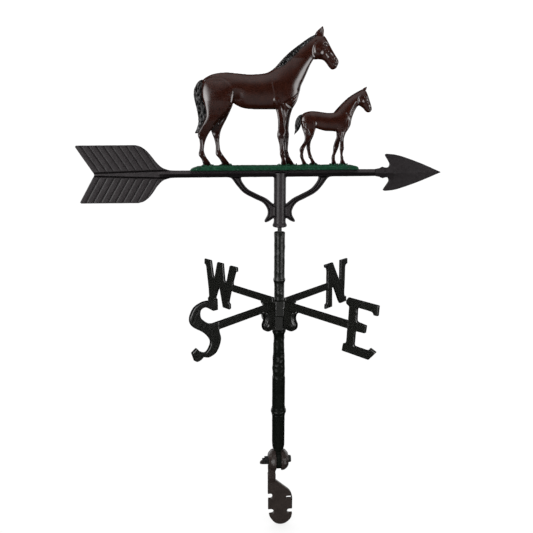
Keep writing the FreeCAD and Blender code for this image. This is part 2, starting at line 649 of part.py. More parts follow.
def foal_body():
    """Head, neck, trunk and tail of the foal, heights above the turf."""
    face = [(122.0, 101.0), (127.0, 90.0), (131.2, 78.5), (129.0, 74.2), (124.5, 73.4), (119.0, 78.4),
            (111.0, 82.8)]
    throat = [(111.0, 82.8), (105.0, 72.5), (102.0, 61.5), (99.5, 52.5), (93.5, 44.0)]
    belly = [(80.5, 48.0), (68.0, 47.4), (50.5, 50.8)]
    tail = [(30.5, 52.5), (26.0, 48.5), (20.0, 42.6), (20.6, 56.0), (23.4, 66.4), (31.0, 72.0)]
    back = [(31.0, 72.0), (42.0, 74.8), (60.0, 73.5), (76.0, 73.0)]
    crest = [(76.0, 73.0), (83.0, 80.0), (95.0, 91.5), (110.0, 100.6), (120.6, 107.4)]
    return [face, throat, [(93.5, 44.0), (80.5, 48.0)], belly, [(50.5, 50.8), (30.5, 52.5)], tail,
            back, crest, [(120.6, 107.4), (122.0, 101.0)]]


def foal_leg(kind):
    return {
        "near_fore": corners([(83.0, 52.0), (98.0, 52.0), (92.0, 40.0), (92.0, 24.0), (90.8, 12.0),
                              (97.0, 0.0), (88.0, 0.0), (87.4, 12.0), (86.0, 24.0)]),
        "far_fore": corners([(80.0, 52.0), (92.0, 52.0), (87.0, 36.0), (83.5, 20.0), (80.4, 9.0),
                             (84.0, 0.0), (75.5, 0.0), (75.6, 12.0), (77.6, 26.0), (81.6, 38.0)]),
        "near_hind": corners([(29.0, 60.0), (48.0, 60.0), (42.0, 36.0), (36.0, 24.0), (33.4, 14.0),
                              (40.4, 0.0), (31.0, 0.0), (28.2, 12.0), (27.6, 22.0), (34.8, 38.0)]),
        "far_hind": corners([(34.0, 60.0), (50.5, 60.0), (48.0, 42.0), (44.2, 30.0), (44.8, 18.0),
                             (54.6, 0.0), (45.6, 0.0), (40.2, 18.0), (38.4, 32.0)]),
    }[kind]


def foal():
    legs = [(-1, foal_leg("near_fore")), (1, foal_leg("far_fore")), (-1, foal_leg("near_hind")),
            (1, foal_leg("far_hind"))]
    return figure(foal_body(), legs, FOAL_BODY_T, FOAL_LEG_T,
                  FOAL_LEG_Y).fuse(foal_tenons()).removeSplitter()


# ---------------------------------------------------------------- all nodes

def build():
    os.makedirs("parts", exist_ok=True)
    north_south = turn_about_pole(directional([letter_n(), letter_s()], (-126.0, 122.0), True),
                                  NORTH_DEG)
    east_west = turn_about_pole(directional([letter_e(), letter_w()], (-106.0, 131.0), False), EAST_DEG)
    nodes = {
        "front_foot": foot(),
        "rear_foot": rear_foot(),
        "pivot_bolt": pivot_bolt(),
        "pivot_nut": pivot_nut(),
        "pivot_washers": pivot_washers(),
        "lower_pole": lower_pole(),
        "tie_stud": tie_stud(),
        "upper_pole": upper_pole(),
        "spindle_pin": spindle_pin(),
        "thrust_ball": thrust_ball(),
        "ns_directional": north_south.cut(set_screw_hole()),
        "ew_directional": east_west,
        "compass_set_screw": set_screw(),
        "arrow_frame": arrow_frame(),
        "hub_bushings": hub_bushings(),
        "arrow_head": arrow_head(),
        "arrow_head_stud": arrow_head_stud(),
        "ornament_screws": ornament_screws(),
        "ornament_base": ornament_base(),
        "mare": mare(),
        "foal": foal(),
    }
    for name, shape in nodes.items():
        export(name, shape)


build()
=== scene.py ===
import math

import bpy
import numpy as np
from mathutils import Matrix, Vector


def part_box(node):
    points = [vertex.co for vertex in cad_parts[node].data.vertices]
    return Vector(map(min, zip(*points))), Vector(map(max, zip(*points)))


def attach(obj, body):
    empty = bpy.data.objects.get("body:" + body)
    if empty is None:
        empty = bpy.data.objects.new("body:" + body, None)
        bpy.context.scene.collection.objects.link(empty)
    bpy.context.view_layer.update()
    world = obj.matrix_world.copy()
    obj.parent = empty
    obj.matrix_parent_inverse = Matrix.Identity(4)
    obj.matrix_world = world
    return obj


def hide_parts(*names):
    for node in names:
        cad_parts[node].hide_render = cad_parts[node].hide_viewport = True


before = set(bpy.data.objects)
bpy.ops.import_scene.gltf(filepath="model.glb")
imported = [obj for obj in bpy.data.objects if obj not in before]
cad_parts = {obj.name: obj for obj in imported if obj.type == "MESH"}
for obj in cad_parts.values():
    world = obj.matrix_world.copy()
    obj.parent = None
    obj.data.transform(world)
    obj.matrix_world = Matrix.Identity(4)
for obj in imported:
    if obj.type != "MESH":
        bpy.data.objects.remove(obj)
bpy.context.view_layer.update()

# Looks of the weather vane. Each casting is a field on a grid, negative inside, and is meshed from it.
# Everything up to the mesh is in millimetres in the frame's own axes: X along the arrow, Z up. Points on the
# figures are given as (x, height above the turf).

MM = 0.001
DETAIL = 1.0
FAR = 9.0                   # a distance that is well outside everything


def cad(name):
    """Lowest and highest corner of a CAD node in millimetres."""
    low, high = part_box(name)
    return np.array(low) / MM, np.array(high) / MM


# ---- heights taken from the frame ----
TENON = 3.5
TURF = cad("mare")[0][2] + TENON
ARROW_Z = (cad("arrow_head")[0][2] + cad("arrow_head")[1][2]) / 2
TUBE_BOTTOM = cad("arrow_frame")[0][2]
POLE_TOP = cad("upper_pole")[1][2]
HUB_TOP = cad("upper_pole")[0][2]
HUB_BOTTOM = HUB_TOP - 48.5
HUB_SPLIT = HUB_TOP - 25.0
LETTER_Z = HUB_BOTTOM + 1.5
PIVOT_Z = (cad("pivot_bolt")[0][2] + cad("pivot_bolt")[1][2]) / 2
FLOOR_Z = cad("front_foot")[0][2]

# ---- castings ----
NORTH_DEG = 41.1            # bearing of the north arm from the arrow's
LETTER_HALF_T = 2.1
ARM_HALF_T = 2.3
ARM_LOW = LETTER_Z + 34.3
ARM_HIGH = LETTER_Z + 46.0
HUB_HALF_WIDTH = 10.5
STRIP_DEPTH = 3.0           # of the corner strips by which the two hub castings interlock
SHAFT_HALF_H = 5.0
SHAFT_HALF_W = 5.4
SHAFT_CHAMFER = 3.2
HEAD_JOINT_X = 140
TAIL_HALF_T = 2.3
BARB_PITCH = 10.3
BARB_SLOPE = 0.62
BARB_START = -222.4
BARB_END = -166
RIB_ENDS = [-262, -165]
RIB_FADE_X = -150
SCREW_R = 2.9
MIDDLE_SCREW_X = -36.0
TUBE_R = 8.9
LOWER_R = 10.6
UPPER_R = 8.6
SPIGOT_BORE_R = 6.05
TONGUE_HALF_T = 4.15        # tongue of the lower pole, between the two feet
TONGUE_R = 15.0
KNUCKLE_R = 19.6
FOOT_ARM_Z = 54
BOLT_BORE_R = 3.25
WASHER_SEAT_R = 9.6
FOOT_GAP = 0.6              # between the two feet where they cross
REAR_FOOT_DEG = 50.0

# ---- figures ----
MARE_LEG_Y = 4.8
FOAL_LEG_Y = 3.1


# ---------------------------------------------------------------- grid and fields

class Space:
    """Grid of sample points over a box, kept as three open axes."""

    def __init__(self, x, y, z, step):
        self.step = step
        self.x = x[:, None, None]
        self.y = y[None, :, None]
        self.z = z[None, None, :]

    @property
    def radius(self):
        """Distance from the pole's axis."""
        return np.hypot(self.x, self.y)

    def part(self, low, high):
        """Index window and smaller grid that cover a box."""
        window = []
        axes = []
        for axis, a, b in zip((self.x, self.y, self.z), low, high):
            flat = axis.ravel()
            first = int(np.searchsorted(flat, a))
            last = max(first + 1, int(np.searchsorted(flat, b)))
            window.append(slice(first, last))
            axes.append(flat[first:last])
        return tuple(window), Space(*axes, self.step)


def space_over(low, high, step):
    step = step * DETAIL
    axes = [np.arange(a, b + step, step) for a, b in zip(low, high)]
    return Space(*axes, step)


def fade(value, width):
    """0 below zero, rising to 1 where the value reaches the width."""
    return np.clip(value / width, 0, 1)


def bell(off, width):
    """1 in the middle, and next to nothing from twice the width."""
    return np.exp(-((off / width) ** 2))


def curve(points, steps=6):
    """Smooth open curve through the points."""
    p = np.array(points, float)
    if len(p) < 3:
        return p
    p = np.vstack([2 * p[0] - p[1], p, 2 * p[-1] - p[-2]])
    t = np.linspace(0, 1, steps, endpoint=False)[:, None]
    pieces = []
    for a, b, c, d in zip(p, p[1:], p[2:], p[3:]):
        pieces.append(0.5 * (2 * b + (c - a) * t + (2 * a - 5 * b + 4 * c - d) * t**2
                             + (3 * b - a - 3 * c + d) * t**3))
    return np.vstack(pieces + [p[-2:-1]])


def outline(*runs):
    """Closed outline in the XZ plane from smooth runs and single corners, joined by straight edges."""
    return np.vstack([curve(run) for run in runs])


def distance(space, shape):
    """Distance to an outline in the XZ plane, negative inside it."""
    near = np.full((space.x.size, 1, space.z.size), 1e9)
    inside = np.zeros(near.shape, bool)
    for a, b in zip(shape, np.roll(shape, -1, axis=0)):
        edge = b - a
        length2 = edge @ edge
        if length2 < 1e-9:
            continue
        dx, dz = space.x - a[0], space.z - a[1]
        t = np.clip((dx * edge[0] + dz * edge[1]) / length2, 0, 1)
        near = np.minimum(near, (dx - t * edge[0]) ** 2 + (dz - t * edge[1]) ** 2)
        if a[1] != b[1]:
            between = (space.z < a[1]) != (space.z < b[1])
            inside ^= between & (space.x < a[0] + (space.z - a[1]) * edge[0] / edge[1])
    return np.where(inside, -1, 1) * np.sqrt(near)


def distance_at(points, shape):
    """Distance of scattered points to an outline in the XZ plane, read off a grid over the outline."""
    step = 0.4
    low, high = shape.min(axis=0) - 2, shape.max(axis=0) + 2
    near = Space(np.arange(low[0], high[0], step), np.zeros(1), np.arange(low[1], high[1], step), step)
    flat = distance(near, shape)[:, 0, :]
    i, k = np.rint((points[:, ::2] - low) / step).astype(int).T
    covered = (i >= 0) & (i < flat.shape[0]) & (k >= 0) & (k < flat.shape[1])
    result = np.full(len(points), FAR)
    result[covered] = flat[i[covered], k[covered]]
    return result


def smooth_union(a, b, blend):
    h = np.clip(0.5 + 0.5 * (b - a) / blend, 0, 1)
    return b + (a - b) * h - blend * h * (1 - h)


def smooth_common(a, b, blend):
    return -smooth_union(-a, -b, blend)


def smooth_cut(a, b, blend):
    return -smooth_union(-a, b, blend)


def plate(space, flat, half_t, edge, y_middle=0.0):
    """Flat casting over a plan distance, its rims rounded by `edge`."""
    across = flat + edge
    through = np.abs(space.y - y_middle) - half_t + edge
    outside = np.hypot(np.maximum(across, 0), np.maximum(through, 0))
    return np.minimum(np.maximum(across, through), 0) + outside - edge


def soften(image, passes):
    for _ in range(passes):
        padded = np.pad(image, ((1, 1), (0, 0), (1, 1)), mode="edge")
        image = (padded[:-2, :, 1:-1] + padded[2:, :, 1:-1] + padded[1:-1, :, :-2] + padded[1:-1, :, 2:]) / 4
    return image


def membrane(inside, step):
    """Height squared of a membrane blown up over the outline: a round arch where it is a strip."""
    if min(inside.shape[0], inside.shape[2]) > 40:
        coarse = membrane(inside[::2, :, ::2], 2 * step)
        height = np.repeat(np.repeat(coarse, 2, 0), 2, 2)[:inside.shape[0], :, :inside.shape[2]]
    else:
        height = np.zeros(inside.shape)
    for _ in range(60):
        height = np.where(inside, soften(height, 1) + step * step / 2, 0)
    return height


def relief(space, shape, fullness, y_middle, share=1.0):
    """Rounded relief over an outline: a `share` of a round arch that levels off towards `fullness`."""
    flat = distance(space, shape)
    deep = flat < -1.5 * space.step
    exact = np.where(deep, membrane(flat < 0, space.step) / np.maximum(-flat, 0.1), 0)
    # How fast the squared height grows inwards from the rim. Next to the rim it is taken from farther in.
    inner = soften(exact, 8) / np.maximum(soften(deep.astype(float), 8), 1e-3)
    squared = -flat * np.where(deep, exact, np.clip(inner, 3, 40))
    height = np.sqrt(np.maximum(squared, 0)) * share
    height = height * fullness / (height + fullness)
    squared = np.where(flat < 0, height**2, squared)
    off = np.abs(space.y - y_middle)
    return (off**2 - squared) / (off + height + 1.2)


def turned(space, radii, heights):
    """Field of a body turned about Z with the given radii at the given heights."""
    return space.radius - np.interp(space.z, heights, radii)


def stroke(space, field, points, radii, blend, cut=False):
    """Adds one round stroke along 3-D points to the field, or cuts it away."""
    points = np.array(points)
    reach = max(radii) + blend + 1.0
    window, near = space.part(points.min(axis=0) - reach, points.max(axis=0) + reach)
    tube = np.full(field[window].shape, 1e3)
    for a, b, ra, rb in zip(points, points[1:], radii, radii[1:]):
        inner, close = near.part(np.minimum(a, b) - reach, np.maximum(a, b) + reach)
        edge = b - a
        dx, dy, dz = close.x - a[0], close.y - a[1], close.z - a[2]
        t = np.clip((dx * edge[0] + dy * edge[1] + dz * edge[2]) / max(edge @ edge, 1e-9), 0, 1)
        away = np.sqrt((dx - t * edge[0]) ** 2 + (dy - t * edge[1]) ** 2 + (dz - t * edge[2]) ** 2)
        tube[inner] = np.minimum(tube[inner], away - (ra + (rb - ra) * t))
    mix = smooth_cut if cut else smooth_union
    field[window] = mix(field[window], tube, blend)


def skin(space, field, x, z, side):
    """Y of the surface at (x, z), on the side facing -Y or +Y."""
    i = min(space.x.size - 1, max(0, int(round((x - space.x[0, 0, 0]) / space.step))))
    k = min(space.z.size - 1, max(0, int(round((z - space.z[0, 0, 0]) / space.step))))
    column = field[i, :, k]
    solid = np.flatnonzero(column < 0)
    if len(solid) == 0:
        return 0.0
    j = solid[0] if side < 0 else solid[-1]
    return float(space.y[0, j, 0])


def on_skin(space, field, path, side, lift):
    """Points on one side of a figure, raised by `lift`, at each (x, height) of the path."""
    return [(x, skin(space, field, x, h + TURF, side) + side * lift, h + TURF) for x, h in path]


def trace(space, field, path, radius, lift, blend, cut=False, sides=(-1, 1)):
    """Ridge, or groove with cut, drawn on a figure along a smooth path."""
    path = curve(path)
    taper = np.sin(np.linspace(0.15, math.pi - 0.15, len(path))) ** 0.5
    for side in sides:
        stroke(space, field, on_skin(space, field, path, side, lift), radius * taper, blend, cut)


def draw(space, field, lines, blend, cut=False):
    """Several traces, each given as its path, radius and lift."""
    for path, radius, lift in lines:
        trace(space, field, path, radius, lift, blend, cut)


# ---------------------------------------------------------------- meshing

def nets(space, field):
    """Points and four-sided faces of the surface where the field is zero."""
    inside = field < 0
    corners = [(i, j, k) for i in (0, 1) for j in (0, 1) for k in (0, 1)]
    nx, ny, nz = field.shape
    count = np.zeros((nx - 1, ny - 1, nz - 1), np.int8)
    for i, j, k in corners:
        count += inside[i:nx - 1 + i, j:ny - 1 + j, k:nz - 1 + k]
    cells = np.argwhere((count > 0) & (count < 8))
    index = np.full(count.shape, -1, np.int64)
    index[tuple(cells.T)] = np.arange(len(cells))
    total = np.zeros((len(cells), 3))
    crossings = np.zeros(len(cells))
    for axis in range(3):
        for corner in corners:
            if corner[axis]:
                continue
            start = np.array(corner)
            end = start.copy()
            end[axis] = 1
            a = field[tuple((cells + start).T)]
            b = field[tuple((cells + end).T)]
            cross = (a < 0) != (b < 0)
            t = np.where(cross, a / np.where(cross, a - b, 1), 0)
            point = start + t[:, None] * (end - start)
            total += np.where(cross[:, None], point, 0)
            crossings += cross
    low = np.array([space.x[0, 0, 0], space.y[0, 0, 0], space.z[0, 0, 0]])
    points = low + space.step * (cells + total / crossings[:, None])
    faces = []
    for axis in range(3):
        u, v = (axis + 1) % 3, (axis + 2) % 3
        first = np.take(inside, range(field.shape[axis] - 1), axis)
        second = np.take(inside, range(1, field.shape[axis]), axis)
        at = np.argwhere(first != second)
        at = at[(at[:, u] > 0) & (at[:, v] > 0)]
        at = at[(at[:, u] < field.shape[u] - 1) & (at[:, v] < field.shape[v] - 1)]
        du, dv = np.eye(3, dtype=int)[u], np.eye(3, dtype=int)[v]
        ring = [index[tuple((at - du * a - dv * b).T)] for a, b in ((1, 1), (0, 1), (0, 0), (1, 0))]
        quad = np.stack(ring, 1)
        outward = first[tuple(at.T)]
        quad[~outward] = quad[~outward][:, ::-1]
        faces.append(quad)
    return points, np.vstack(faces)


def point_normals(points, faces):
    across = points[faces[:, 2]] - points[faces[:, 0]]
    along = points[faces[:, 3]] - points[faces[:, 1]]
    normal = np.cross(across, along)
    total = np.zeros(points.shape)
    for corner in range(4):
        for axis in range(3):
            total[:, axis] += np.bincount(faces[:, corner], normal[:, axis], len(points))
    return total / np.maximum(np.linalg.norm(total, axis=1, keepdims=True), 1e-12)


def lumps(points, size, seed):
    """Smooth random height between -1 and 1 at each point, with lumps about `size` across."""
    values = np.random.default_rng(seed).uniform(-1, 1, 4096)
    cell = np.floor(points / size).astype(np.int64)
    part = points / size - cell
    part = part * part * (3 - 2 * part)
    total = np.zeros(len(points))
    for i in (0, 1):
        for j in (0, 1):
            for k in (0, 1):
                at = cell + np.array([i, j, k])
                slot = (at[:, 0] * 73856093 ^ at[:, 1] * 19349663 ^ at[:, 2] * 83492791) & 4095
                share = np.abs(1 - i - part[:, 0]) * np.abs(1 - j - part[:, 1]) * np.abs(1 - k - part[:, 2])
                total += share * values[slot]
    return total


def roughen(points, faces, size, depth, seed):
    """Uneven as-cast surface."""
    return points + point_normals(points, faces) * (depth * lumps(points, size, seed))[:, None]


def cast(space, field, size, depth, seed):
    """Points and faces of a field's surface, uneven as cast."""
    points, faces = nets(space, field)
    return roughen(points, faces, size, depth, seed), faces


def rotated(points, degrees, first, second):
    """Points turned in the plane of two axes, from the first towards the second."""
    c, s = math.cos(math.radians(degrees)), math.sin(math.radians(degrees))
    turned_points = points.copy()
    turned_points[:, first] = points[:, first] * c - points[:, second] * s
    turned_points[:, second] = points[:, first] * s + points[:, second] * c
    return turned_points


def add_piece(name, points, faces, material, body, replaced=(), paint_and_shade=None):
    """Blender mesh for a piece, riding on its body and standing for its CAD nodes.

    The last argument is the share of the material's brightness that each point keeps: low where dark paint
    has settled and where shade is painted in, and above 1 where a highlight is painted in.
    """
    mesh = bpy.data.meshes.new(name)
    mesh.vertices.add(len(points))
    mesh.vertices.foreach_set("co", (points * MM).astype(np.float32).ravel())
    mesh.loops.add(faces.size)
    mesh.loops.foreach_set("vertex_index", faces.astype(np.int32).ravel())
    mesh.polygons.add(len(faces))
    mesh.polygons.foreach_set("loop_start", np.arange(0, faces.size, 4, dtype=np.int32))
    mesh.polygons.foreach_set("use_smooth", np.ones(len(faces), bool))
    mesh.update(calc_edges=True)
    mesh.validate()
    kept = np.ones(len(points)) if paint_and_shade is None else paint_and_shade
    mesh.attributes.new("paint_and_shade", "FLOAT", "POINT").data.foreach_set("value", kept.astype(np.float32))
    mesh.materials.append(material)
    piece = bpy.data.objects.new(name, mesh)
    bpy.context.scene.collection.objects.link(piece)
    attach(piece, body)
    if replaced:
        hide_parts(*replaced)
    return piece


# ---------------------------------------------------------------- materials

def feed(tree, target, inputs):
    """Sets a node's inputs: another node's output is linked, anything else is a value."""
    for entry, value in inputs.items():
        if isinstance(value, bpy.types.NodeSocket):
            tree.links.new(value, target.inputs[entry])
        else:
            target.inputs[entry].default_value = value


def node(tree, kind, inputs=None, **settings):
    """New shader node, with its settings and inputs."""
    made = tree.nodes.new("ShaderNode" + kind)
    for key, value in settings.items():
        setattr(made, key, value)
    feed(tree, made, inputs or {})
    return made


def noise(tree, scale, detail):
    """Noise in metres of the frame's own axes, so it turns with the piece."""
    place = node(tree, "TexCoord").outputs["Object"]
    return node(tree, "TexNoise", {"Vector": place, "Scale": scale, "Detail": detail}).outputs["Fac"]


def finish_of(name, dark, light, roughness, metallic=0.0, grain=700.0, bump=0.05, patch=60.0, gloss=0.5,
              crevice_shade=0.35, painted=True):
    """Painted or bare casting: patchy colour, painted shade in crevices, the darker paint, painted shade and
    painted highlights that each point carries, uneven gloss and a fine grain.
    """
    material = bpy.data.materials.new(name)
    material.use_nodes = True
    tree = material.node_tree
    patches = node(tree, "ValToRGB", {"Fac": noise(tree, patch, 4.0)})
    for stop, place, colour in zip(patches.color_ramp.elements, (0.3, 0.7), (dark, light)):
        stop.position = place
        stop.color = (*colour, 1)
    edges = node(tree, "NewGeometry").outputs["Pointiness"]
    # Painted shade: colour and gloss are darker where the surface curves inwards, in crevices and grooves.
    hollow = node(tree, "MapRange", {"Value": edges, "From Min": 0.44, "From Max": 0.495, "To Min": crevice_shade})
    layer = node(tree, "Attribute", attribute_name="paint_and_shade").outputs["Fac"] if painted else 1.0
    kept = node(tree, "Math", {0: hollow.outputs["Result"], 1: layer}, operation="MULTIPLY")
    kept = kept.outputs["Value"]
    level = node(tree, "Math", {0: kept, 1: gloss}, operation="MULTIPLY")
    colour = node(tree, "VectorMath", {0: patches.outputs["Color"], "Scale": kept}, operation="SCALE")
    fine = noise(tree, grain, 3.0)
    rough = node(tree, "MapRange", {"Value": fine, "From Min": 0.3, "From Max": 0.7,
                                    "To Min": roughness * 0.85, "To Max": roughness * 1.15})
    grit = node(tree, "Bump", {"Height": fine, "Strength": bump, "Distance": 0.0004})
    feed(tree, tree.nodes["Principled BSDF"], {
        "Base Color": colour.outputs["Vector"], "Specular IOR Level": level.outputs["Value"],
        "Roughness": rough.outputs["Result"], "Normal": grit.outputs["Normal"], "Metallic": metallic,
    })
    return material


def make_materials():
    return {
        "bay": finish_of("bay_enamel", (0.0125, 0.0024, 0.0010), (0.0195, 0.0041, 0.0018), 0.19,
                         grain=420.0, bump=0.015, patch=120.0, gloss=0.65),
        "mane": finish_of("mane_charcoal", (0.008, 0.008, 0.008), (0.045, 0.044, 0.044), 0.30,
                          bump=0.2, patch=420.0),
        "tail": finish_of("tail_hair_grey", (0.018, 0.017, 0.017), (0.070, 0.068, 0.068), 0.34,
                          bump=0.3, patch=480.0, gloss=0.36),
        "arrow": finish_of("arrow_charcoal_paint", (0.0165, 0.0142, 0.0151), (0.0205, 0.0176, 0.0186), 0.36,
                           grain=900.0, bump=0.03, gloss=0.18, crevice_shade=0.3),
        "pole": finish_of("pole_black_paint", (0.0026, 0.0031, 0.0024), (0.0048, 0.0056, 0.0044), 0.26,
                          gloss=0.2),
        # Painted shade: the same black paint as the upper pole, made darker and duller for the lower pole.
        "lower_pole": finish_of("lower_pole_black_paint_shaded", (0.0022, 0.0028, 0.0021), (0.0040, 0.0048, 0.0037),
                                0.22, gloss=0.065),
        "compass": finish_of("compass_black_paint", (0.0040, 0.0043, 0.0034), (0.0058, 0.0060, 0.0050), 0.22,
                             gloss=0.65),
        "foot": finish_of("foot_bronze_paint", (0.0120, 0.0085, 0.0073), (0.0175, 0.0129, 0.0113), 0.32,
                          bump=0.12, gloss=0.25),
        "turf": finish_of("turf_green_enamel", (0.0026, 0.0185, 0.0086), (0.0056, 0.036, 0.0175), 0.28,
                          grain=500.0, bump=0.06, patch=220.0, gloss=0.25, crevice_shade=0.15),
        "steel": finish_of("zinc_plated_steel", (0.10, 0.10, 0.098), (0.16, 0.16, 0.155), 0.38,
                           metallic=1.0, painted=False),
        "dark_steel": finish_of("blackened_steel", (0.010, 0.010, 0.010), (0.018, 0.018, 0.017), 0.42,
                                metallic=0.6, painted=False),
        "bushing": finish_of("bushing_plastic", (0.30, 0.29, 0.26), (0.40, 0.39, 0.35), 0.5, painted=False),
    }


# ---------------------------------------------------------------- paint and painted shade on the castings

def rim_shade(points, faces):
    """Painted shade on edges that turn away from the flat faces of a casting lying in the XZ plane: they are
    left darker.
    """
    facing = np.abs(point_normals(points, faces)[:, 1])
    return np.interp(facing, [0.3, 0.85], [0.35, 1.0])


def coat_paint(points, hoof, knee, belly):
    """Hooves darker than the coat, and a darker stocking from the hoof up past the knee."""
    return np.interp(points[:, 2] - TURF, [hoof - 1.5, hoof, knee, belly], [0.25, 0.6, 0.6, 1.0])


def hair_paint(points, seed):
    """Dark paint left between the locks, in streaks that run mostly up and down."""
    streaks = lumps(points * np.array([1.0, 1.0, 0.45]), 1.3, seed)
    return np.clip(0.34 + 1.1 * streaks, 0.04, 1)


# ---------------------------------------------------------------- both figures

def at_turf(*runs):
    """Outline from runs whose heights are above the turf."""
    return outline(*runs) + np.array([0.0, TURF])


def leg_place(space, y, low, high):
    """Middle of a leg: out at the side below, drawn in towards the trunk above."""
    return np.interp(space.z, [TURF + low, TURF + high], [y, 0.12 * y])


def hooves(space, field, places, leg_y, size):
    """Coronet groove on hooves whose toes point to +X, given as (side, heel x, toe x)."""
    low, high = TURF + size * 0.42, TURF + size * 0.62
    for side, heel, toe in places:
        y = side * leg_y
        for out_heel, out_toe in ((3.2, 3.0), (-3.0, -3.2)):
            rim = [(heel - 1, y + side * out_heel, high), (toe, y + side * out_toe, low)]
            stroke(space, field, rim, [0.9, 0.9], 0.6, cut=True)


def leg_joints(space, field, places, leg_y, drift, radii, blend):
    """Round joints on the legs, given as (x, height, side)."""
    for x, h, side in places:
        start = np.array([x, side * leg_y, h + TURF])
        stroke(space, field, [start, start + np.array([drift[0], 0, drift[1]])], radii, blend)


def dabs(space, field, marks):
    """Short marks on both sides of a head, each given as two ends, lift, radii, blend and if it is cut in."""
    for side in (-1, 1):
        for start, end, lift, radii, blend, cut in marks:
            stroke(space, field, on_skin(space, field, (start, end), side, lift), radii, blend, cut)


def build_tail_hair(name, space, shape, fullness, y_middle, locks, groove, rough, paint_seed, material):
    """Hanging tail with grooves between its locks."""
    field = relief(space, shape, fullness, y_middle)
    for lock in locks:
        trace(space, field, lock, *groove, cut=True)
    points, faces = cast(space, field, *rough)
    add_piece(name, points, faces, material, "vane", paint_and_shade=hair_paint(points, paint_seed))


# ---------------------------------------------------------------- mare

def mare_trunk():
    head = [(46, 174.5), (52, 175.5), (59, 173.5), (64, 167.5), (70, 157.5), (76, 148.5), (80.4, 142),
            (80.2, 137.5), (77.5, 132.3), (72, 130.1), (67.5, 133), (61, 140.8), (55, 143), (45.5, 143)]
    throat = [(45.5, 143), (41, 135.5), (37, 126.5), (33, 117.5), (29, 109), (26.5, 99), (22.5, 87),
              (16, 78)]
    belly = [(6, 76.5), (-8, 77), (-35, 77), (-50, 78.2), (-60, 81.5), (-67, 86)]
    rump = [(-90, 72), (-103, 73), (-107, 84), (-109.5, 98), (-110, 108), (-107, 115.5), (-100, 120.5),
            (-90, 124), (-75, 125.5), (-60, 124.5), (-45, 123.2), (-30, 123.8), (-18, 126), (-8, 132.5),
            (0, 141), (10, 150.5), (20, 158.3), (30, 165.3), (40, 171.8)]
    return at_turf(head, throat, belly, rump)


def mare_trunk_share(space):
    """How round the trunk is along its length: haunch, flank, barrel, neck, head and muzzle."""
    along = np.interp(space.x, [-115, -90, -35, 0, 18, 40, 60, 80],
                      [0.52, 0.60, 0.60, 0.62, 0.66, 0.68, 0.68, 0.80])
    h = space.z - TURF
    flank = 0.5 * bell(space.x + 64.5, 8.5) * fade(104 - h, 14)
    behind = -12.5 + 1.6 * np.sin((h - 84) / 6.5)
    shoulder = 0.032 * fade(space.x - behind, 2.0) * fade(24 - space.x, 26)
    shoulder = shoulder * fade(h - 84, 6) * fade(122 - h, 10)
    return along * (1 - flank) * (1 + shoulder)


def mare_near_hind():
    return at_turf(
        [(-109, 103), (-104, 115), (-92, 119), (-78, 116), (-68, 107), (-65.5, 97), (-67, 87), (-72, 79.5),
         (-80, 68.5), (-90, 58), (-98, 48.5), (-102.5, 42), (-106, 34), (-108, 25), (-108, 19.5),
         (-105.5, 12.5), (-101, 6), (-97.5, 0)], [(-97.5, -1.5), (-111, -1.5)],
        [(-110.5, 2), (-112, 8.5), (-115.6, 14.5), (-116, 18), (-114.2, 26), (-114.4, 36), (-116.5, 43),
         (-113.5, 50), (-107.5, 60), (-104, 70), (-106, 82), (-109.5, 94)])


def mare_far_hind():
    return at_turf(
        [(-106, 96), (-90, 104), (-74, 100), (-66.5, 90), (-67, 83.5), (-70.5, 75), (-75, 65.5),
         (-80, 56.5), (-84, 48), (-86, 38), (-86, 28), (-84.5, 19.5), (-80, 12.5), (-75, 6), (-71, 0)],
        [(-71, -1.5), (-84, -1.5)],
        [(-83.8, 3), (-87, 9), (-91.8, 15), (-92.3, 19), (-92.2, 28), (-94, 37), (-97, 45), (-100, 56),
         (-104, 75)])


def mare_near_fore():
    return at_turf(
        [(-12, 112), (-8, 121), (2, 126), (12, 121), (20, 110), (23.5, 98), (20, 87), (14, 80), (9, 71),
         (7.6, 60), (7.3, 50), (6.4, 43.5), (5, 36), (4.4, 28), (5, 20), (6.6, 14.5), (6.4, 10), (8.5, 4.5),
         (10, 0)], [(10, -1.5), (0.2, -1.5)],
        [(0.6, 3), (1, 8), (-0.6, 14), (-1.2, 20), (-2, 29), (-4, 36.5), (-5.4, 42), (-4.4, 48.5),
         (-3.9, 56), (-4.6, 66), (-6.5, 75), (-9.5, 82), (-11.8, 91), (-12.6, 101)])


def mare_far_fore():
    return at_turf(
        [(0, 106), (14, 110), (24, 99), (23, 88), (17.8, 78.5), (15, 70), (13.3, 60), (12.6, 50),
         (13, 42.5), (12.6, 32), (11.8, 22), (13, 15), (15.5, 10), (19, 4.5), (22, 0)],
        [(22, -1.5), (9.6, -1.5)],
        [(9, 4), (7.6, 10), (6, 15.5), (5.6, 24), (5, 33), (4, 42), (4.8, 52), (3, 66), (-2, 82)])


def mare_leg_fullness(space, front):
    """How full a leg is at each height: it sinks into the trunk above the thigh or the shoulder."""
    heights = np.array([0, 30, 48, 70, 88, 104, 120]) + TURF
    hind = [3.4, 3.0, 3.8, 7.0, 12.0, 11.0, 7.0]
    fore = [3.4, 3.0, 3.6, 5.0, 7.5, 6.5, 3.5]
    return np.interp(space.z, heights, fore if front else hind)


def mare_ear():
    return at_turf([(46.0, 172), (48.6, 178.6), (56.6, 185.6)], [(56.6, 185.6), (58.4, 179), (58, 172)])


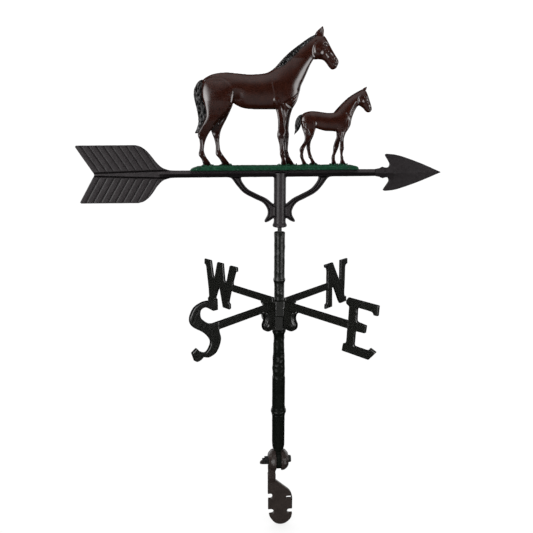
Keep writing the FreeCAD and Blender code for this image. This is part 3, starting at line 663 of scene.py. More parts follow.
def mare_face(space, field):
    cheek = ((50, 152.5), (52, 151.5), -5.2, (6.6, 6.6), 1.6, False)
    socket = ((59.5, 161.5), (61.5, 160.5), 0.6, (2.0, 1.6), 0.8, True)
    eye = ((60.2, 161.2), (61, 160.8), -0.6, (1.7, 1.6), 0.3, False)
    nostril = ((75.2, 143.5), (76.4, 140.6), 0.5, (1.3, 1.2), 0.8, True)
    dabs(space, field, [cheek, socket, eye, nostril])
    trace(space, field, [(56, 163.5), (59, 165.2), (62.5, 164.6), (65.5, 161.5)], 1.3, -0.6, 1.4)
    trace(space, field, [(55, 157.5), (60, 155.5), (65.5, 152.5), (69.5, 149.5)], 1.8, -1.3, 2.0)
    trace(space, field, [(73.5, 145.5), (77, 144), (78.5, 140.5), (76.5, 138.5)], 0.9, -0.5, 0.9)
    trace(space, field, [(63, 149.5), (68, 144.5), (72, 140.5)], 1.8, 1.1, 2.0, cut=True)
    trace(space, field, [(79.5, 136), (75.5, 136.6), (71.5, 137.8)], 0.8, 0.35, 0.6, cut=True)
    trace(space, field, [(47.5, 166), (44.5, 158), (44.5, 150), (47.5, 144.5)], 1.1, 0.8, 1.4, cut=True)


def mare_muscles(space, field):
    draw(space, field, [
        ([(23, 97), (17, 91.5), (9, 87), (4, 85)], 1.0, 0.5),
        ([(8, 84), (13, 81), (17.5, 78.5)], 1.0, 0.3),
        ([(0.5, 82), (3.4, 74), (6.4, 62), (7.2, 51)], 1.1, 0.4),
        ([(-73, 77), (-83, 66), (-93, 55.5)], 1.2, 0.5),
        ([(-76, 70), (-86, 58)], 0.9, 0.3),
    ], 2.4, cut=True)
    draw(space, field, [
        ([(-69.5, 96), (-70.4, 88), (-74, 79), (-82, 68)], 5.0, -4.9),
        ([(-7, 92), (-6.4, 87), (-5, 82)], 4.0, -3.9),
    ], 3.4)


def mare_tendons(space, field):
    """Groove between bone and tendon on each cannon, and the round joints."""
    for cannon in ([(-112, 38), (-111.3, 30), (-112, 21)], [(-90, 40), (-89.4, 31), (-88.8, 21)],
                   [(1.0, 38), (1.4, 30), (2, 21)], [(9, 38), (8.8, 30), (9.2, 20)]):
        trace(space, field, cannon, 0.8, 0.5, 1.2, cut=True)
    places = [(-113, 42, -1), (-112.6, 16, -1), (-91, 43, 1), (-88, 16.5, 1), (0.3, 43, -1), (2, 16.5, -1),
              (8.8, 43, 1), (9, 16.5, 1)]
    leg_joints(space, field, places, MARE_LEG_Y, (1.5, -1.0), [2.8, 2.6], 2.4)


def build_mare(materials):
    space = space_over((-124, -15, TURF - 3), (84, 15, TURF + 188), 0.52)
    h = space.z - TURF
    croup = fade(h - 96, 18) * fade(-60 - space.x, 25)
    neck_and_head = fade(h - 116, 28) * fade(space.x, 16)
    fullness = 60.0 - 40.0 * croup - 36.0 * neck_and_head
    trunk = relief(space, mare_trunk(), fullness, 0.0, mare_trunk_share(space))
    field = trunk
    legs = [(-1, mare_near_hind()), (1, mare_far_hind()), (-1, mare_near_fore()), (1, mare_far_fore())]
    blend = np.interp(space.z, [TURF + 58, TURF + 92], [1.6, 7.0])
    for i, (side, shape) in enumerate(legs):
        place = leg_place(space, side * MARE_LEG_Y, 62, 104)
        leg = relief(space, shape, mare_leg_fullness(space, i > 1), place, 1.6)
        field = smooth_union(field, leg, blend)
    for side in (-1, 1):
        field = smooth_union(field, relief(space, mare_ear(), 4.0, side * 3.2), 1.0)
        hollow = [(54.2, side * 5.4, TURF + 177), (55.8, side * 4.8, TURF + 182.5)]
        stroke(space, field, hollow, [1.5, 0.6], 0.5, cut=True)
    mare_muscles(space, field)
    mare_tendons(space, field)
    mare_face(space, field)
    hooves(space, field, [(-1, -111, -99), (1, -85, -72), (-1, 0, 10), (1, 9, 22)], MARE_LEG_Y, 8.0)
    points, faces = cast(space, field, 7.0, 0.10, 11)
    add_piece("mare_body", points, faces, materials["bay"], "vane", ("mare",),
              coat_paint(points, 7, 48, 84))
    build_mare_mane(space, trunk, materials)


def build_mare_mane(space, trunk, materials):
    """Layer of hair over the crest, lying down the near side of the neck."""
    window, space = space.part((-16, -15, TURF + 124), (62, 15, TURF + 184))
    shape = at_turf(
        [(-13, 127), (-5, 138), (0, 144), (10, 153), (20, 160.6), (30, 167.6), (40, 174), (47, 178),
         (52, 178)], [(51.5, 174.5), (48.5, 172.2)],
        [(47.5, 171), (42, 168.2), (35, 161.6), (28, 156.4), (22, 150), (15, 143.8), (8, 137.6), (1, 132.4),
         (-7, 130)])
    flat = distance(space, shape)
    hair = np.interp(-flat, [0, 3, 8], [1.0, 2.0, 1.6])
    field = smooth_common(trunk[window] - hair, flat, 0.8)
    field = smooth_common(field, space.y - 2.2, 0.8)
    strands = 30
    for i in range(strands):
        share = i / (strands - 1)
        x, h = -9 + 57 * share, 134 + 44 * share ** 0.94
        lean = 7.0 - 3.5 * share
        strand = [(x - 1.5, h + 1.0), (x + 1.0, h - 4.5), (x + lean, h - 11)]
        trace(space, field, strand, 0.9, 0.1, 0.4, cut=True, sides=(-1,))
    points, faces = cast(space, field, 2.0, 0.22, 12)
    # Painted highlight along the mane's lower edge, over its dark streaks, and darker higher up.
    above_edge = (points[:, 2] - TURF - 135.3 - 0.76 * points[:, 0]) * 0.8
    streaks_and_edge_highlight = hair_paint(points, 14) * np.interp(above_edge, [1.5, 4.5], [1.6, 0.35])
    add_piece("mare_mane", points, faces, materials["mane"], "vane", paint_and_shade=streaks_and_edge_highlight)


def build_mare_tail(materials):
    space = space_over((-124, -9, TURF + 41), (-98, 9, TURF + 119), 0.5)
    shape = at_turf(
        [(-106, 116.5), (-112, 114.5), (-117, 108.5), (-120.2, 100), (-119.6, 90), (-117, 78), (-115.2, 66),
         (-116.2, 56), (-119.4, 48), (-121, 44.5)],
        [(-121, 44.5), (-113, 46), (-107.5, 52), (-103.6, 61), (-102.6, 71), (-105, 80), (-108.5, 93),
         (-107.5, 106)])
    locks = [[(-109 - 2 * share, 111), (-108.5 - 9.5 * share, 97), (-106 - 11 * share, 84),
              (-104.5 - 10.5 * share, 70), (-106.5 - 10 * share, 58), (-113 - 6.5 * share, 48)]
             for share in (np.arange(7) + 0.5) / 7]
    build_tail_hair("mare_tail", space, shape, 14.0, -0.6, locks, (0.75, 0.15, 0.5), (1.6, 0.22, 13), 15,
                    materials["tail"])


# ---------------------------------------------------------------- foal

def foal_trunk():
    head = [(116, 104.3), (120.5, 103), (123, 99.5), (127, 90), (130.3, 81.5), (131.1, 77.5), (129, 74.2),
            (125.5, 73.2), (122, 74.8), (118, 79), (112.5, 82.3), (109.5, 81)]
    chest = [(109.5, 81), (106, 74.5), (103, 66.5), (101.8, 60.5), (101, 56), (98, 50.5), (93.5, 45)]
    belly = [(84, 46), (75, 47.3), (66, 47.6), (58, 49.3), (51, 51.5)]
    back = [(40, 50), (31.5, 53), (29, 60), (29, 67), (33, 72.2), (41, 74.8), (50, 74.9), (60, 73.6),
            (70, 72.6), (77, 73.6), (82, 78.5), (88, 85), (95, 91.5), (102, 96.6), (110, 101)]
    return at_turf(head, chest, belly, back)


def foal_near_hind():
    return at_turf(
        [(30, 66), (34, 71), (41, 72.5), (47, 68.5), (50.8, 61.5), (51, 54), (49, 47), (45.5, 40.5),
         (41.5, 34.5), (37.5, 28.5), (34.5, 23), (33.2, 17), (33.4, 11.5), (36, 6), (40.5, 0)],
        [(40.5, -1.5), (31, -1.5)],
        [(31.4, 3), (29.6, 8.5), (28.1, 13), (28.3, 17.5), (27.3, 22.5), (30, 27.5), (33.8, 33.5),
         (34.6, 39.5), (32.8, 46), (30.6, 52), (29.3, 59)])


def foal_far_hind():
    return at_turf(
        [(34, 62), (46, 62), (50.6, 54), (49.8, 47), (47.8, 40), (45, 33.5), (44, 26.5), (44.6, 19.5),
         (46.5, 13.5), (49.5, 7), (55, 0)], [(55, -1.5), (45.4, -1.5)],
        [(45.4, 4), (43.6, 8.5), (41, 13.5), (39.5, 19.5), (38.2, 25), (38.8, 31), (39, 40), (36, 50)])


def foal_near_fore():
    return at_turf(
        [(80, 64), (86, 73), (94, 73), (99.5, 66), (100.5, 57), (97.5, 50), (93.6, 44.5), (91.7, 38),
         (91.6, 30), (92.1, 23.5), (90.9, 18), (91, 11.5), (94, 4.5), (97.5, 0)],
        [(97.5, -1.5), (87.4, -1.5)],
        [(87, 4), (87.6, 11), (86.6, 17), (85.8, 24), (86, 32), (85.4, 40), (82, 49), (79.6, 57)])


def foal_far_fore():
    return at_turf(
        [(82, 60), (94, 60), (94, 48), (89.6, 40), (87, 32), (85.6, 25), (82.6, 17.5), (80.6, 12),
         (81.4, 6), (84.5, 0)], [(84.5, -1.5), (75.4, -1.5)],
        [(75.8, 5), (75.6, 11.5), (77.2, 17.5), (77.4, 25), (79.2, 32), (81.6, 39), (81, 46)])


def foal_face(space, field):
    cheek = ((114, 88.5), (115.5, 87.5), -3.4, (4.3, 4.0), 1.2, False)
    socket = ((119.4, 93.2), (120.4, 92.4), 0.4, (1.3, 1.1), 0.5, True)
    eye = ((119.8, 93), (120.3, 92.5), -0.5, (1.1, 1.0), 0.2, False)
    nostril = ((127.6, 79.8), (128.4, 78.2), 0.3, (0.8, 0.8), 0.4, True)
    dabs(space, field, [cheek, socket, eye, nostril])
    trace(space, field, [(116.5, 95.2), (119.5, 96), (122.5, 93.5)], 0.8, -0.1, 0.6)
    trace(space, field, [(119, 90), (122.5, 87), (125.5, 83.5)], 0.9, -0.2, 0.9)
    trace(space, field, [(130, 76.6), (127, 76.4), (124.5, 77.2)], 0.5, 0.1, 0.3, cut=True)
    trace(space, field, [(111.5, 96), (109.5, 90), (111, 83.5)], 0.8, 0.3, 0.7, cut=True)


def foal_muscles(space, field):
    draw(space, field, [
        ([(107, 88), (103.5, 79), (100, 71)], 0.9, 0.4),
        ([(93.5, 72), (97, 69), (100, 66)], 0.7, 0.2),
        ([(35, 58), (38, 50), (41.5, 43)], 0.8, 0.3),
        ([(88, 52), (88.5, 43), (88.4, 34)], 0.7, 0.25),
    ], 1.3, cut=True)
    draw(space, field, [
        ([(31.6, 60), (34.5, 52), (39.5, 43)], 1.2, -0.4),
        ([(47, 62), (49, 56), (47.6, 48), (44, 41)], 1.3, -0.8),
        ([(96.5, 62), (96, 54), (92.8, 47), (91, 40)], 1.5, -0.5),
        ([(82, 50), (84.5, 44), (86.5, 36)], 1.1, -0.4),
    ], 1.8)
    places = [(31, 24, -1), (30.6, 12.5, -1), (41.4, 24, 1), (43.5, 11.5, 1), (88.8, 24, -1),
              (89.2, 11.5, -1), (81, 24, 1), (78.2, 11, 1)]
    leg_joints(space, field, places, FOAL_LEG_Y, (0.8, -0.6), [2.0, 1.9], 1.6)


def build_foal(materials):
    space = space_over((16, -9, TURF - 3), (134, 9, TURF + 110), 0.4)
    share = np.interp(space.x, [28, 45, 80, 95, 108, 118, 131], [0.64, 0.60, 0.58, 0.62, 0.66, 0.70, 0.80])
    field = relief(space, foal_trunk(), 60.0, 0.0, share)
    legs = [(-1, foal_near_hind()), (1, foal_far_hind()), (-1, foal_near_fore()), (1, foal_far_fore())]
    fullness = np.interp(space.z, np.array([0, 20, 32, 45, 58, 70]) + TURF, [2.4, 2.1, 2.6, 4.4, 5.6, 4.0])
    blend = np.interp(space.z, [TURF + 34, TURF + 54], [1.0, 4.0])
    for side, shape in legs:
        leg = relief(space, shape, fullness, leg_place(space, side * FOAL_LEG_Y, 36, 60), 1.5)
        field = smooth_union(field, leg, blend)
    ear = at_turf(
        [(114.5, 101.5), (117, 105.5), (121.8, 108.2)], [(121.8, 108.2), (121.2, 104.5), (119.5, 101.5)])
    for side in (-1, 1):
        field = smooth_union(field, relief(space, ear, 2.6, side * 2.2), 0.7)
    foal_muscles(space, field)
    foal_face(space, field)
    hooves(space, field, [(-1, 31, 40), (1, 45, 54), (-1, 87, 97), (1, 75, 84)], FOAL_LEG_Y, 6.0)
    points, faces = cast(space, field, 5.0, 0.07, 21)
    add_piece("foal_body", points, faces, materials["bay"], "vane", ("foal",),
              coat_paint(points, 5, 36, 52))


def build_foal_tail(materials):
    space = space_over((16, -6, TURF + 38), (35, 6, TURF + 75), 0.4)
    shape = at_turf(
        [(32.5, 71), (27.5, 69.8), (23.6, 66.2), (21.3, 61), (20.4, 55), (20.8, 49), (19.6, 42.4)],
        [(19.6, 42.4), (24.5, 47), (28, 52), (29.6, 58), (30, 64)])
    locks = [[(29.5 - 2 * share, 69), (28 - 5.6 * share, 62), (28 - 7 * share, 55), (23.5 - 2.6 * share, 47)]
             for share in (np.arange(3) + 0.5) / 3]
    build_tail_hair("foal_tail", space, shape, 8.0, -0.4, locks, (0.55, 0.1, 0.4), (1.2, 0.12, 22), 24,
                    materials["tail"])


def build_foal_mane(materials):
    """Short upright mane: a ridge along the crest with tufts leaning off it to both sides."""
    space = space_over((74, -6, TURF + 70), (124, 6, TURF + 110), 0.4)
    crest = curve([(78, 73.5), (82, 78), (88, 84.4), (95, 90.8), (102, 95.8), (110, 100.4), (117.5, 104)])
    field = np.full((space.x.size, space.y.size, space.z.size), FAR)
    stroke(space, field, [(x, 0.0, h + TURF - 0.5) for x, h in crest], np.full(len(crest), 1.7), 0.4)
    for i, (x, h) in enumerate(crest[2:-1:2]):
        for side in (-1, 1):
            root = (x, side * 0.8, h + TURF + 0.3)
            tip = (x + 1.8, side * (3.0 + 0.5 * (i % 2)), h + TURF - 4.2)
            stroke(space, field, [root, tip], [1.0, 0.5], 0.5)
    points, faces = cast(space, field, 1.5, 0.12, 23)
    add_piece("foal_mane", points, faces, materials["mane"], "vane",
              paint_and_shade=hair_paint(points, 25))


# ---------------------------------------------------------------- turf

def build_turf(materials):
    (left, _, bottom), (right, half_w, _) = cad("ornament_base")
    space = space_over((left - 3, -half_w - 3, bottom - 2), (right + 3, half_w + 3, TURF + 6), 0.6)
    shape = outline(
        [(left, bottom), (left + 0.5, bottom + 1.4), (left + 5, TURF - 2.6), (left + 12, TURF - 1.0),
         (left + 24, TURF)],
        [(98, TURF), (106, TURF - 0.6), (111.5, TURF - 2.0), (113.4, bottom + 1.6), (113.4, bottom)])
    field = plate(space, distance(space, shape), half_w - 0.3, 1.6)
    rng = np.random.default_rng(31)
    hoof_places = [(-104, -1, 6), (-78, 1, 6), (5, -1, 6), (16, 1, 6), (36, -1, 4.5), (50, 1, 4.5),
                   (92, -1, 4.5), (80, 1, 4.5)]
    for middle, side, reach in hoof_places:
        y = side * 5.0
        mound = [(middle - reach, y, TURF - 2.0), (middle + reach, y, TURF - 2.4)]
        stroke(space, field, mound, [3.4, 3.2], 2.0)
        for _ in range(26):
            x = middle + rng.uniform(-1.5, 1.5) * reach
            root = np.array([x, y + rng.uniform(-5.5, 5.5), TURF - 0.6])
            tip = root + np.array([rng.uniform(-1, 1), rng.uniform(-0.8, 0.8), rng.uniform(1.6, 3.4)])
            stroke(space, field, [root, tip], [1.1, 0.45], 0.5)
    for _ in range(110):
        side = rng.choice([-1, 1])
        x = rng.uniform(left + 6, 110)
        root = np.array([x, side * (half_w - 0.9), bottom + rng.uniform(0.6, 2.4)])
        tip = root + np.array([rng.uniform(-1.4, 1.4), side * 0.1, rng.uniform(1.2, 2.2)])
        stroke(space, field, [root, tip], [0.9, 0.4], 0.6)
    field = np.maximum(field, bottom - space.z)
    points, faces = nets(space, field)
    bumpy = roughen(points, faces, 3.2, 0.28, 32)
    points = points + (bumpy - points) * fade(points[:, 2] - bottom, 2.0)[:, None]
    add_piece("turf_strip", points, faces, materials["turf"], "vane", ("ornament_base",))


# ---------------------------------------------------------------- arrow

def shaft_field(space, scale):
    """Six-sided shaft along X with a ridge at each side, scaled up where it thickens."""
    y = np.abs(space.y) / scale
    z = np.abs(space.z - ARROW_Z) / scale
    slope = np.hypot(SHAFT_HALF_H, SHAFT_CHAMFER)
    facets = (y * SHAFT_HALF_H + z * SHAFT_CHAMFER - SHAFT_HALF_W * SHAFT_HALF_H) / slope
    return smooth_common(z - SHAFT_HALF_H, facets, 0.5) * scale


def both_halves(*runs):
    """Outline on the arrow's middle line: the given runs and their mirror images below."""
    mirrored = [[(x, -z) for x, z in reversed(run)] for run in reversed(runs)]
    return outline(*runs, *mirrored) + np.array([0.0, ARROW_Z])


def tail_shape():
    edge = [(-285.8, 38.6), (-284.2, 40.2)]
    front = [(-204, 40.6), (-196.5, 38.4), (-189, 33), (-182.5, 25.4), (-176, 16.6), (-168, 9), (-158, 5.4)]
    return both_halves([(-262.5, 0.0)], edge, front)


def rib_half(x):
    """Half height of the fletching's rib, which widens towards the shaft."""
    return np.interp(x, RIB_ENDS, [1.4, 4.6])


def barb_gap(x, off):
    """Distance from the nearest groove between two barbs, `off` above or below the middle of the tail."""
    place = (x + BARB_SLOPE * off - BARB_START) / BARB_PITCH
    return np.abs(place - np.round(place)) * BARB_PITCH * 0.85


def tail_field(space):
    """Fletching: slanted barbs with grooves between them, and a tapering rib."""
    flat = distance(space, tail_shape())
    off = np.abs(space.z - ARROW_Z)
    beside = off - rib_half(space.x)
    barbs = fade(BARB_END - space.x - BARB_SLOPE * off, 6.0)
    barbs = barbs * fade(beside - 2.0, 4.0) * fade(-flat - 0.6, 2.0)
    groove = 0.55 * bell(barb_gap(space.x, off), 1.1)
    on_rib = fade(RIB_FADE_X - space.x, 14.0)
    rib = on_rib * np.interp(space.x, RIB_ENDS, [1.2, 2.9]) * fade(0.3 - beside, 0.7)
    valley = on_rib * 1.2 * np.clip(1 - np.abs(beside - 1.1), 0, 1)
    return plate(space, flat, TAIL_HALF_T - barbs * groove + rib - valley, 0.9)


def arrow_shade(points):
    """Painted shade in the tail's grooves and along both sides of its rib, and under the shaft, whose upper
    face is painted a little lighter.
    """
    x, y, z = points.T
    off = np.abs(z - ARROW_Z)
    beside = off - rib_half(x)
    in_tail = fade(BARB_END - x - BARB_SLOPE * off, 4.0) * fade(beside - 1.5, 1.5)
    groove = in_tail * np.exp(-((barb_gap(x, off) / 0.85) ** 4))
    rib_edge = fade(RIB_FADE_X - x, 14.0) * np.exp(-(((beside - 0.9) / 0.8) ** 4))
    # Painted shade under the shaft, and a painted lighter upper face.
    on_shaft = (off < SHAFT_HALF_H + 0.6) & (x > -172) & (np.abs(y) < SHAFT_HALF_W + 1.0)
    shaft = np.where(on_shaft, 1.1 - 0.8 * fade(ARROW_Z + 1.4 - z, 0.8), 1)
    return (1 - 0.6 * groove) * (1 - 0.75 * rib_edge) * shaft


def brace_shape(side):
    outer = [(79, -3), (70.5, -6.5), (63, -16.5), (53, -27.5), (38, -35.8), (25, -42.5), (18.6, -52),
             (18.2, -60.5), (22.4, -68.6), (21.4, -71.2), (16, -69.6), (9.8, -65.6), (4, -65)]
    inner = [(4, -44.8), (9, -44.8), (19.5, -36.6), (34, -29.4), (46.5, -22.4), (54.5, -12.5), (56.8, -6),
             (56, -3)]
    shape = outline(outer, inner)
    return shape * np.array([side, 1.0]) + np.array([0.0, ARROW_Z])


def brace_field(space, side):
    """Flat S-shaped brace with a raised rim and a middle ridge."""
    flat = distance(space, brace_shape(side))
    half_t = 3.5 - 1.7 * bell(np.minimum(-flat, 4.6) - 2.6, 0.75)
    return plate(space, flat, half_t, 0.9)


def brace_shade(points):
    """Painted shade in the channel along each brace."""
    depth = -np.minimum(*[distance_at(points, brace_shape(side)) for side in (-1, 1)])
    return 1 - 0.7 * bell(np.minimum(depth, 4.6) - 2.6, 0.8) * (depth > 0)


def tube_field(space):
    heights = np.array([0, 1.4, 3.2, 6.0, 8.5, 60, 74, 77]) + TUBE_BOTTOM
    tube = turned(space, [9.6, 10.7, 10.6, 9.2, TUBE_R, TUBE_R, TUBE_R, TUBE_R], heights)
    return np.maximum(tube, np.maximum(TUBE_BOTTOM - space.z, space.z - ARROW_Z - 1.0))


def build_arrow(materials):
    space = space_over((-289, -11.5, TUBE_BOTTOM - 2), (143, 11.5, ARROW_Z + 43), 0.47)
    thickness = np.interp(space.x, [-200, -176, -164, -150], [0.35, 0.85, 1.12, 1.0])
    field = shaft_field(space, thickness)
    field = np.maximum(field, np.maximum(-200 - space.x, space.x - HEAD_JOINT_X + 0.1))
    field = smooth_union(field, tail_field(space), 1.2)
    field = smooth_union(field, tube_field(space), 2.4)
    for side in (-1, 1):
        field = smooth_union(field, brace_field(space, side), 1.8)
    bore = np.maximum(space.radius - 5.0, space.z - TUBE_BOTTOM - 61.5)
    field = np.maximum(field, np.maximum(-bore, TUBE_BOTTOM - space.z))
    low, high = cad("ornament_screws")
    for x in (low[0] + SCREW_R, MIDDLE_SCREW_X, high[0] - SCREW_R):
        well = np.maximum(np.hypot(space.x - x, space.y) - SCREW_R - 0.2, np.abs(space.z - low[2]) - 1.5)
        field = np.maximum(field, -well)
    # In front of the tail nothing stands above the shaft, which the turf lies on.
    field = np.maximum(field, np.where(space.x > -132, space.z - ARROW_Z - SHAFT_HALF_H, -FAR))
    points, faces = cast(space, field, 4.0, 0.09, 41)
    # Painted shade in the tail's grooves, in the braces' channels, under the shaft and on the rims.
    add_piece("arrow_casting", points, faces, materials["arrow"], "vane", ("arrow_frame",),
              arrow_shade(points) * brace_shade(points) * rim_shade(points, faces))


def head_shape():
    barb = [(161.5, 8.5), (161.9, 12.5), (159.5, 17.0), (155.2, 23.4), (154.3, 25.8), (156.5, 27.0)]
    edge = [(156.5, 27.0), (168, 26.0), (182, 22.6), (210, 12.8), (239.5, 0.4)]
    return both_halves(barb, edge)


def build_arrow_head(materials):
    """Barbed blade with a raised middle, on a socket that swells into a bead."""
    space = space_over((138, -13, ARROW_Z - 30), (243, 13, ARROW_Z + 30), 0.5)
    off = np.abs(space.z - ARROW_Z)
    width = np.interp(space.x, [160, 182, 240], [27, 22.6, 2.0])
    crown = np.interp(space.x, [160, 185, 240], [0.9, 2.2, 1.0])
    half_t = 2.2 + crown * np.clip(1 - off / width, 0, 1)
    ridge = np.interp(space.x, [158, 178, 200], [3.0, 0.8, 0.0]) * bell(off, 5.0)
    blade = plate(space, distance(space, head_shape()), half_t + ridge, 0.9)
    scale = np.interp(space.x, [138, 141, 148, 150, 152, 154.2, 156, 162, 168],
                      [1.0, 1.02, 1.28, 1.5, 1.66, 1.5, 1.42, 1.42, 1.3])
    socket = np.maximum(shaft_field(space, scale), space.x - 167)
    field = np.maximum(smooth_union(blade, socket, 3.0), HEAD_JOINT_X - space.x)
    points, faces = cast(space, field, 4.0, 0.09, 42)
    # Painted shade: the whole head is made darker than the tail in the same paint, and darker still on its
    # rims.
    add_piece("arrow_head_casting", points, faces, materials["arrow"], "vane",
              ("arrow_head",), 0.7 * rim_shade(points, faces))


# ---------------------------------------------------------------- compass

def letter_n():
    return outline(
        (112, 80.3), (134.5, 80.3), [(152.5, 49), (154.6, 46.8), (157.3, 46.8)], (156.2, 80.3),
        (176.6, 80.3), [(177.2, 70.8), (173.4, 70), (171, 67)], [(171.6, 15), (173.6, 11), (178, 9.5)],
        (178.4, 0), (160.2, 0), (157, 3.5), (140, 35), (134.8, 35), (136.4, 0), (117.5, 0),
        [(117.5, 8.6), (120.4, 9.2), (121.8, 11.5)], [(119.8, 68.5), (117.6, 73.4), (113.3, 75)])


def letter_s():
    return outline(
        (-125.5, 79.6), (-136, 79.2),
        [(-136, 79.2), (-144, 80.8), (-154, 80.8), (-166.5, 76), (-173.8, 63), (-168.8, 50.5), (-150, 36),
         (-139.7, 20.5), (-147.5, 8.2), (-158, 12), (-164.5, 19)], (-172.6, 14.5),
        [(-168.5, 1.5), (-164, -1.2), (-158, -0.6), (-153.5, 2)],
        [(-153.5, 2), (-142.5, -1.5), (-129.5, 2.6), (-121.5, 18), (-124, 33)], (-124, 46),
        [(-135, 46), (-143.5, 49), (-155, 59.5), (-155.5, 70), (-148, 72.6), (-140, 68.5), (-133.5, 63.8)],
        (-125.5, 63.5))


def letter_e():
    return outline(
        (121.5, 0), (165.5, 0), (176.6, 14.4), [(167.5, 18), (165, 14.6), (161.5, 13)],
        [(144, 13), (142, 13.6), (141.6, 15.5)], [(142.2, 32.5), (142.8, 34.8), (145, 35.6)],
        [(156.5, 36.4), (158.2, 37), (158.6, 39)], (159.6, 48.2), [(147.5, 49.2), (144.8, 50.2), (144, 53)],
        [(144, 66), (144.8, 69.4), (147.5, 70.2)], [(165.8, 69.8), (168.4, 68.6), (169.8, 65.8)],
        [(174.6, 65.8), (176.2, 66.4), (176.6, 68.4)], (177, 80.8), (128.6, 80.8),
        [(125.5, 76), (125.4, 73), (126.2, 71)], (130.6, 68.6), (130.2, 50), (129, 32),
        [(128.4, 16), (126.4, 13), (123, 11.5)])


def letter_w():
    return outline(
        (-177.2, 80.5), (-160, 80.5), [(-155.5, 53), (-153.5, 50.8), (-151.2, 53)], (-143.6, 79.5),
        (-142.2, 80.5), (-128.6, 80.5), [(-126, 52), (-124, 48.8), (-120.2, 52)], (-111.8, 79.6),
        (-110.2, 80.3), (-93.6, 80.3), [(-93.6, 72.6), (-96.6, 71.8), (-98.6, 69.8)], (-104.6, 53),
        (-104.6, 40), (-110.5, 34.5), [(-116.2, 14), (-115, 12.2), (-113, 11.8)], (-112.8, 3.6), (-115, 1),
        (-131.6, 1), [(-139.2, 35), (-140.4, 36.4), (-141.6, 35)],
        [(-150.4, 14.5), (-150.2, 12), (-148.6, 10)], (-148.6, 0), (-170.6, 0),
        [(-171.6, 10), (-169.4, 11.4), (-168, 14)], (-168.2, 26),
        [(-173.2, 67), (-175, 70.4), (-178, 71.5)])


def gusset_field(space, side):
    """Scroll bracket under an arm: raised rim and a curl on its bulb."""
    shape = outline(
        (9, 36.3), (38, 36.3),
        [(37.4, 33.4), (34.6, 31), (33, 26.5), (33.4, 21.6), (36.4, 15.5), (35.4, 8.5), (30.5, 3.4),
         (24, 1.6), (17.5, 2.4)], (9, 2.4))
    flat = distance(space, shape * np.array([side, 1.0]) + np.array([0.0, LETTER_Z]))
    curl = np.hypot(np.abs(space.x) - 26.5, space.z - LETTER_Z - 11.0)
    half_t = 3.6 - 1.2 * bell(-flat - 2.9, 0.9) + 0.9 * bell(curl, 3.4)
    return plate(space, flat, half_t, 1.3)


def hub_fields(space, low_block):
    """Square column on its corner, cut to interlock with the other casting's, and the room left for that."""
    seam = 0.5
    square = (np.abs(space.x) + np.abs(space.y)) / math.sqrt(2) - HUB_HALF_WIDTH
    reach = HUB_HALF_WIDTH * math.sqrt(2) - STRIP_DEPTH
    below = np.maximum(HUB_BOTTOM + seam - space.z, space.z - HUB_SPLIT + seam)
    above = np.maximum(HUB_SPLIT + seam - space.z, space.z - HUB_TOP + seam)
    own, other = (below, above) if low_block else (above, below)
    block = np.maximum(np.maximum(square, own), np.abs(space.y) - reach + seam)
    strips = np.maximum(np.maximum(square, other), reach + seam - np.abs(space.x))
    keep_out = np.maximum(other, np.abs(space.x) - reach - seam)
    cross = np.maximum(own, reach - seam - np.abs(space.y))
    return np.minimum(block, strips), np.maximum(square, np.minimum(keep_out, cross))


def directional(name, letters, arm_ends, arm_lift, low_block, degrees, replaced, material):
    """One compass casting, modelled in the XZ plane and turned to its bearing."""
    space = space_over((-181, -16, HUB_BOTTOM - 1.5), (181, 16, LETTER_Z + 83), 0.66)
    left, right = arm_ends
    arm = np.maximum(np.abs(space.x - (left + right) / 2) - (right - left) / 2,
                     np.abs(space.z - (ARM_LOW + ARM_HIGH) / 2 - arm_lift) - (ARM_HIGH - ARM_LOW) / 2)
    field = plate(space, arm, ARM_HALF_T, 1.1)
    for letter in letters:
        flat = distance(space, letter + np.array([0.0, LETTER_Z]))
        field = smooth_union(field, plate(space, flat, LETTER_HALF_T, 0.9), 0.8)
    for side in (-1, 1):
        field = smooth_union(field, gusset_field(space, side), 1.6)
    hub, room = hub_fields(space, low_block)
    field = np.maximum(smooth_union(field, hub, 0.8), -room)
    field = np.maximum(field, np.maximum(SPIGOT_BORE_R - space.radius, HUB_BOTTOM - 1.0 - space.z))
    points, faces = cast(space, field, 3.5, 0.12, 51 + low_block)
    # Painted shade on the rims of the letters, arms and scrolls; the hub is left as it is.
    at_hub = fade(19 - np.hypot(points[:, 0], points[:, 1]), 2)
    rims = np.maximum(rim_shade(points, faces), at_hub)
    points = rotated(points, degrees, 0, 1)
    add_piece(name, points, faces, material, "compass", (replaced,), rims)


def build_compass(materials):
    directional("north_south_casting", [letter_n(), letter_s()], (-126, 122), 0.0, True, NORTH_DEG,
                "ns_directional", materials["compass"])
    directional("east_west_casting", [letter_e(), letter_w()], (-106, 131), 1.4, False, NORTH_DEG - 90,
                "ew_directional", materials["compass"])


# ---------------------------------------------------------------- poles

def hammered(points, low, high, radius, size, depth, seed):
    """Depth of the hammer marks on a pole between two heights."""
    rng = np.random.default_rng(seed)
    angle = np.arctan2(points[:, 1], points[:, 0])
    total = np.zeros(len(points))
    count = int((high - low) * 2 * math.pi * radius / (size * size) * 1.5)
    for _ in range(count):
        z, at = rng.uniform(low, high), rng.uniform(-math.pi, math.pi)
        spread = size * rng.uniform(0.8, 1.3)
        turn = np.abs((angle - at + math.pi) % (2 * math.pi) - math.pi) * radius
        mark = 1 - (turn / spread) ** 2 - ((points[:, 2] - z) / (spread * 1.35)) ** 2
        total = np.maximum(total, mark)
    return depth * total


def sink(points, depth):
    """Points moved towards the pole's axis."""
    out = points.copy()
    radius = np.maximum(np.hypot(points[:, 0], points[:, 1]), 1.0)
    out[:, :2] *= ((radius - depth) / radius)[:, None]
    return out


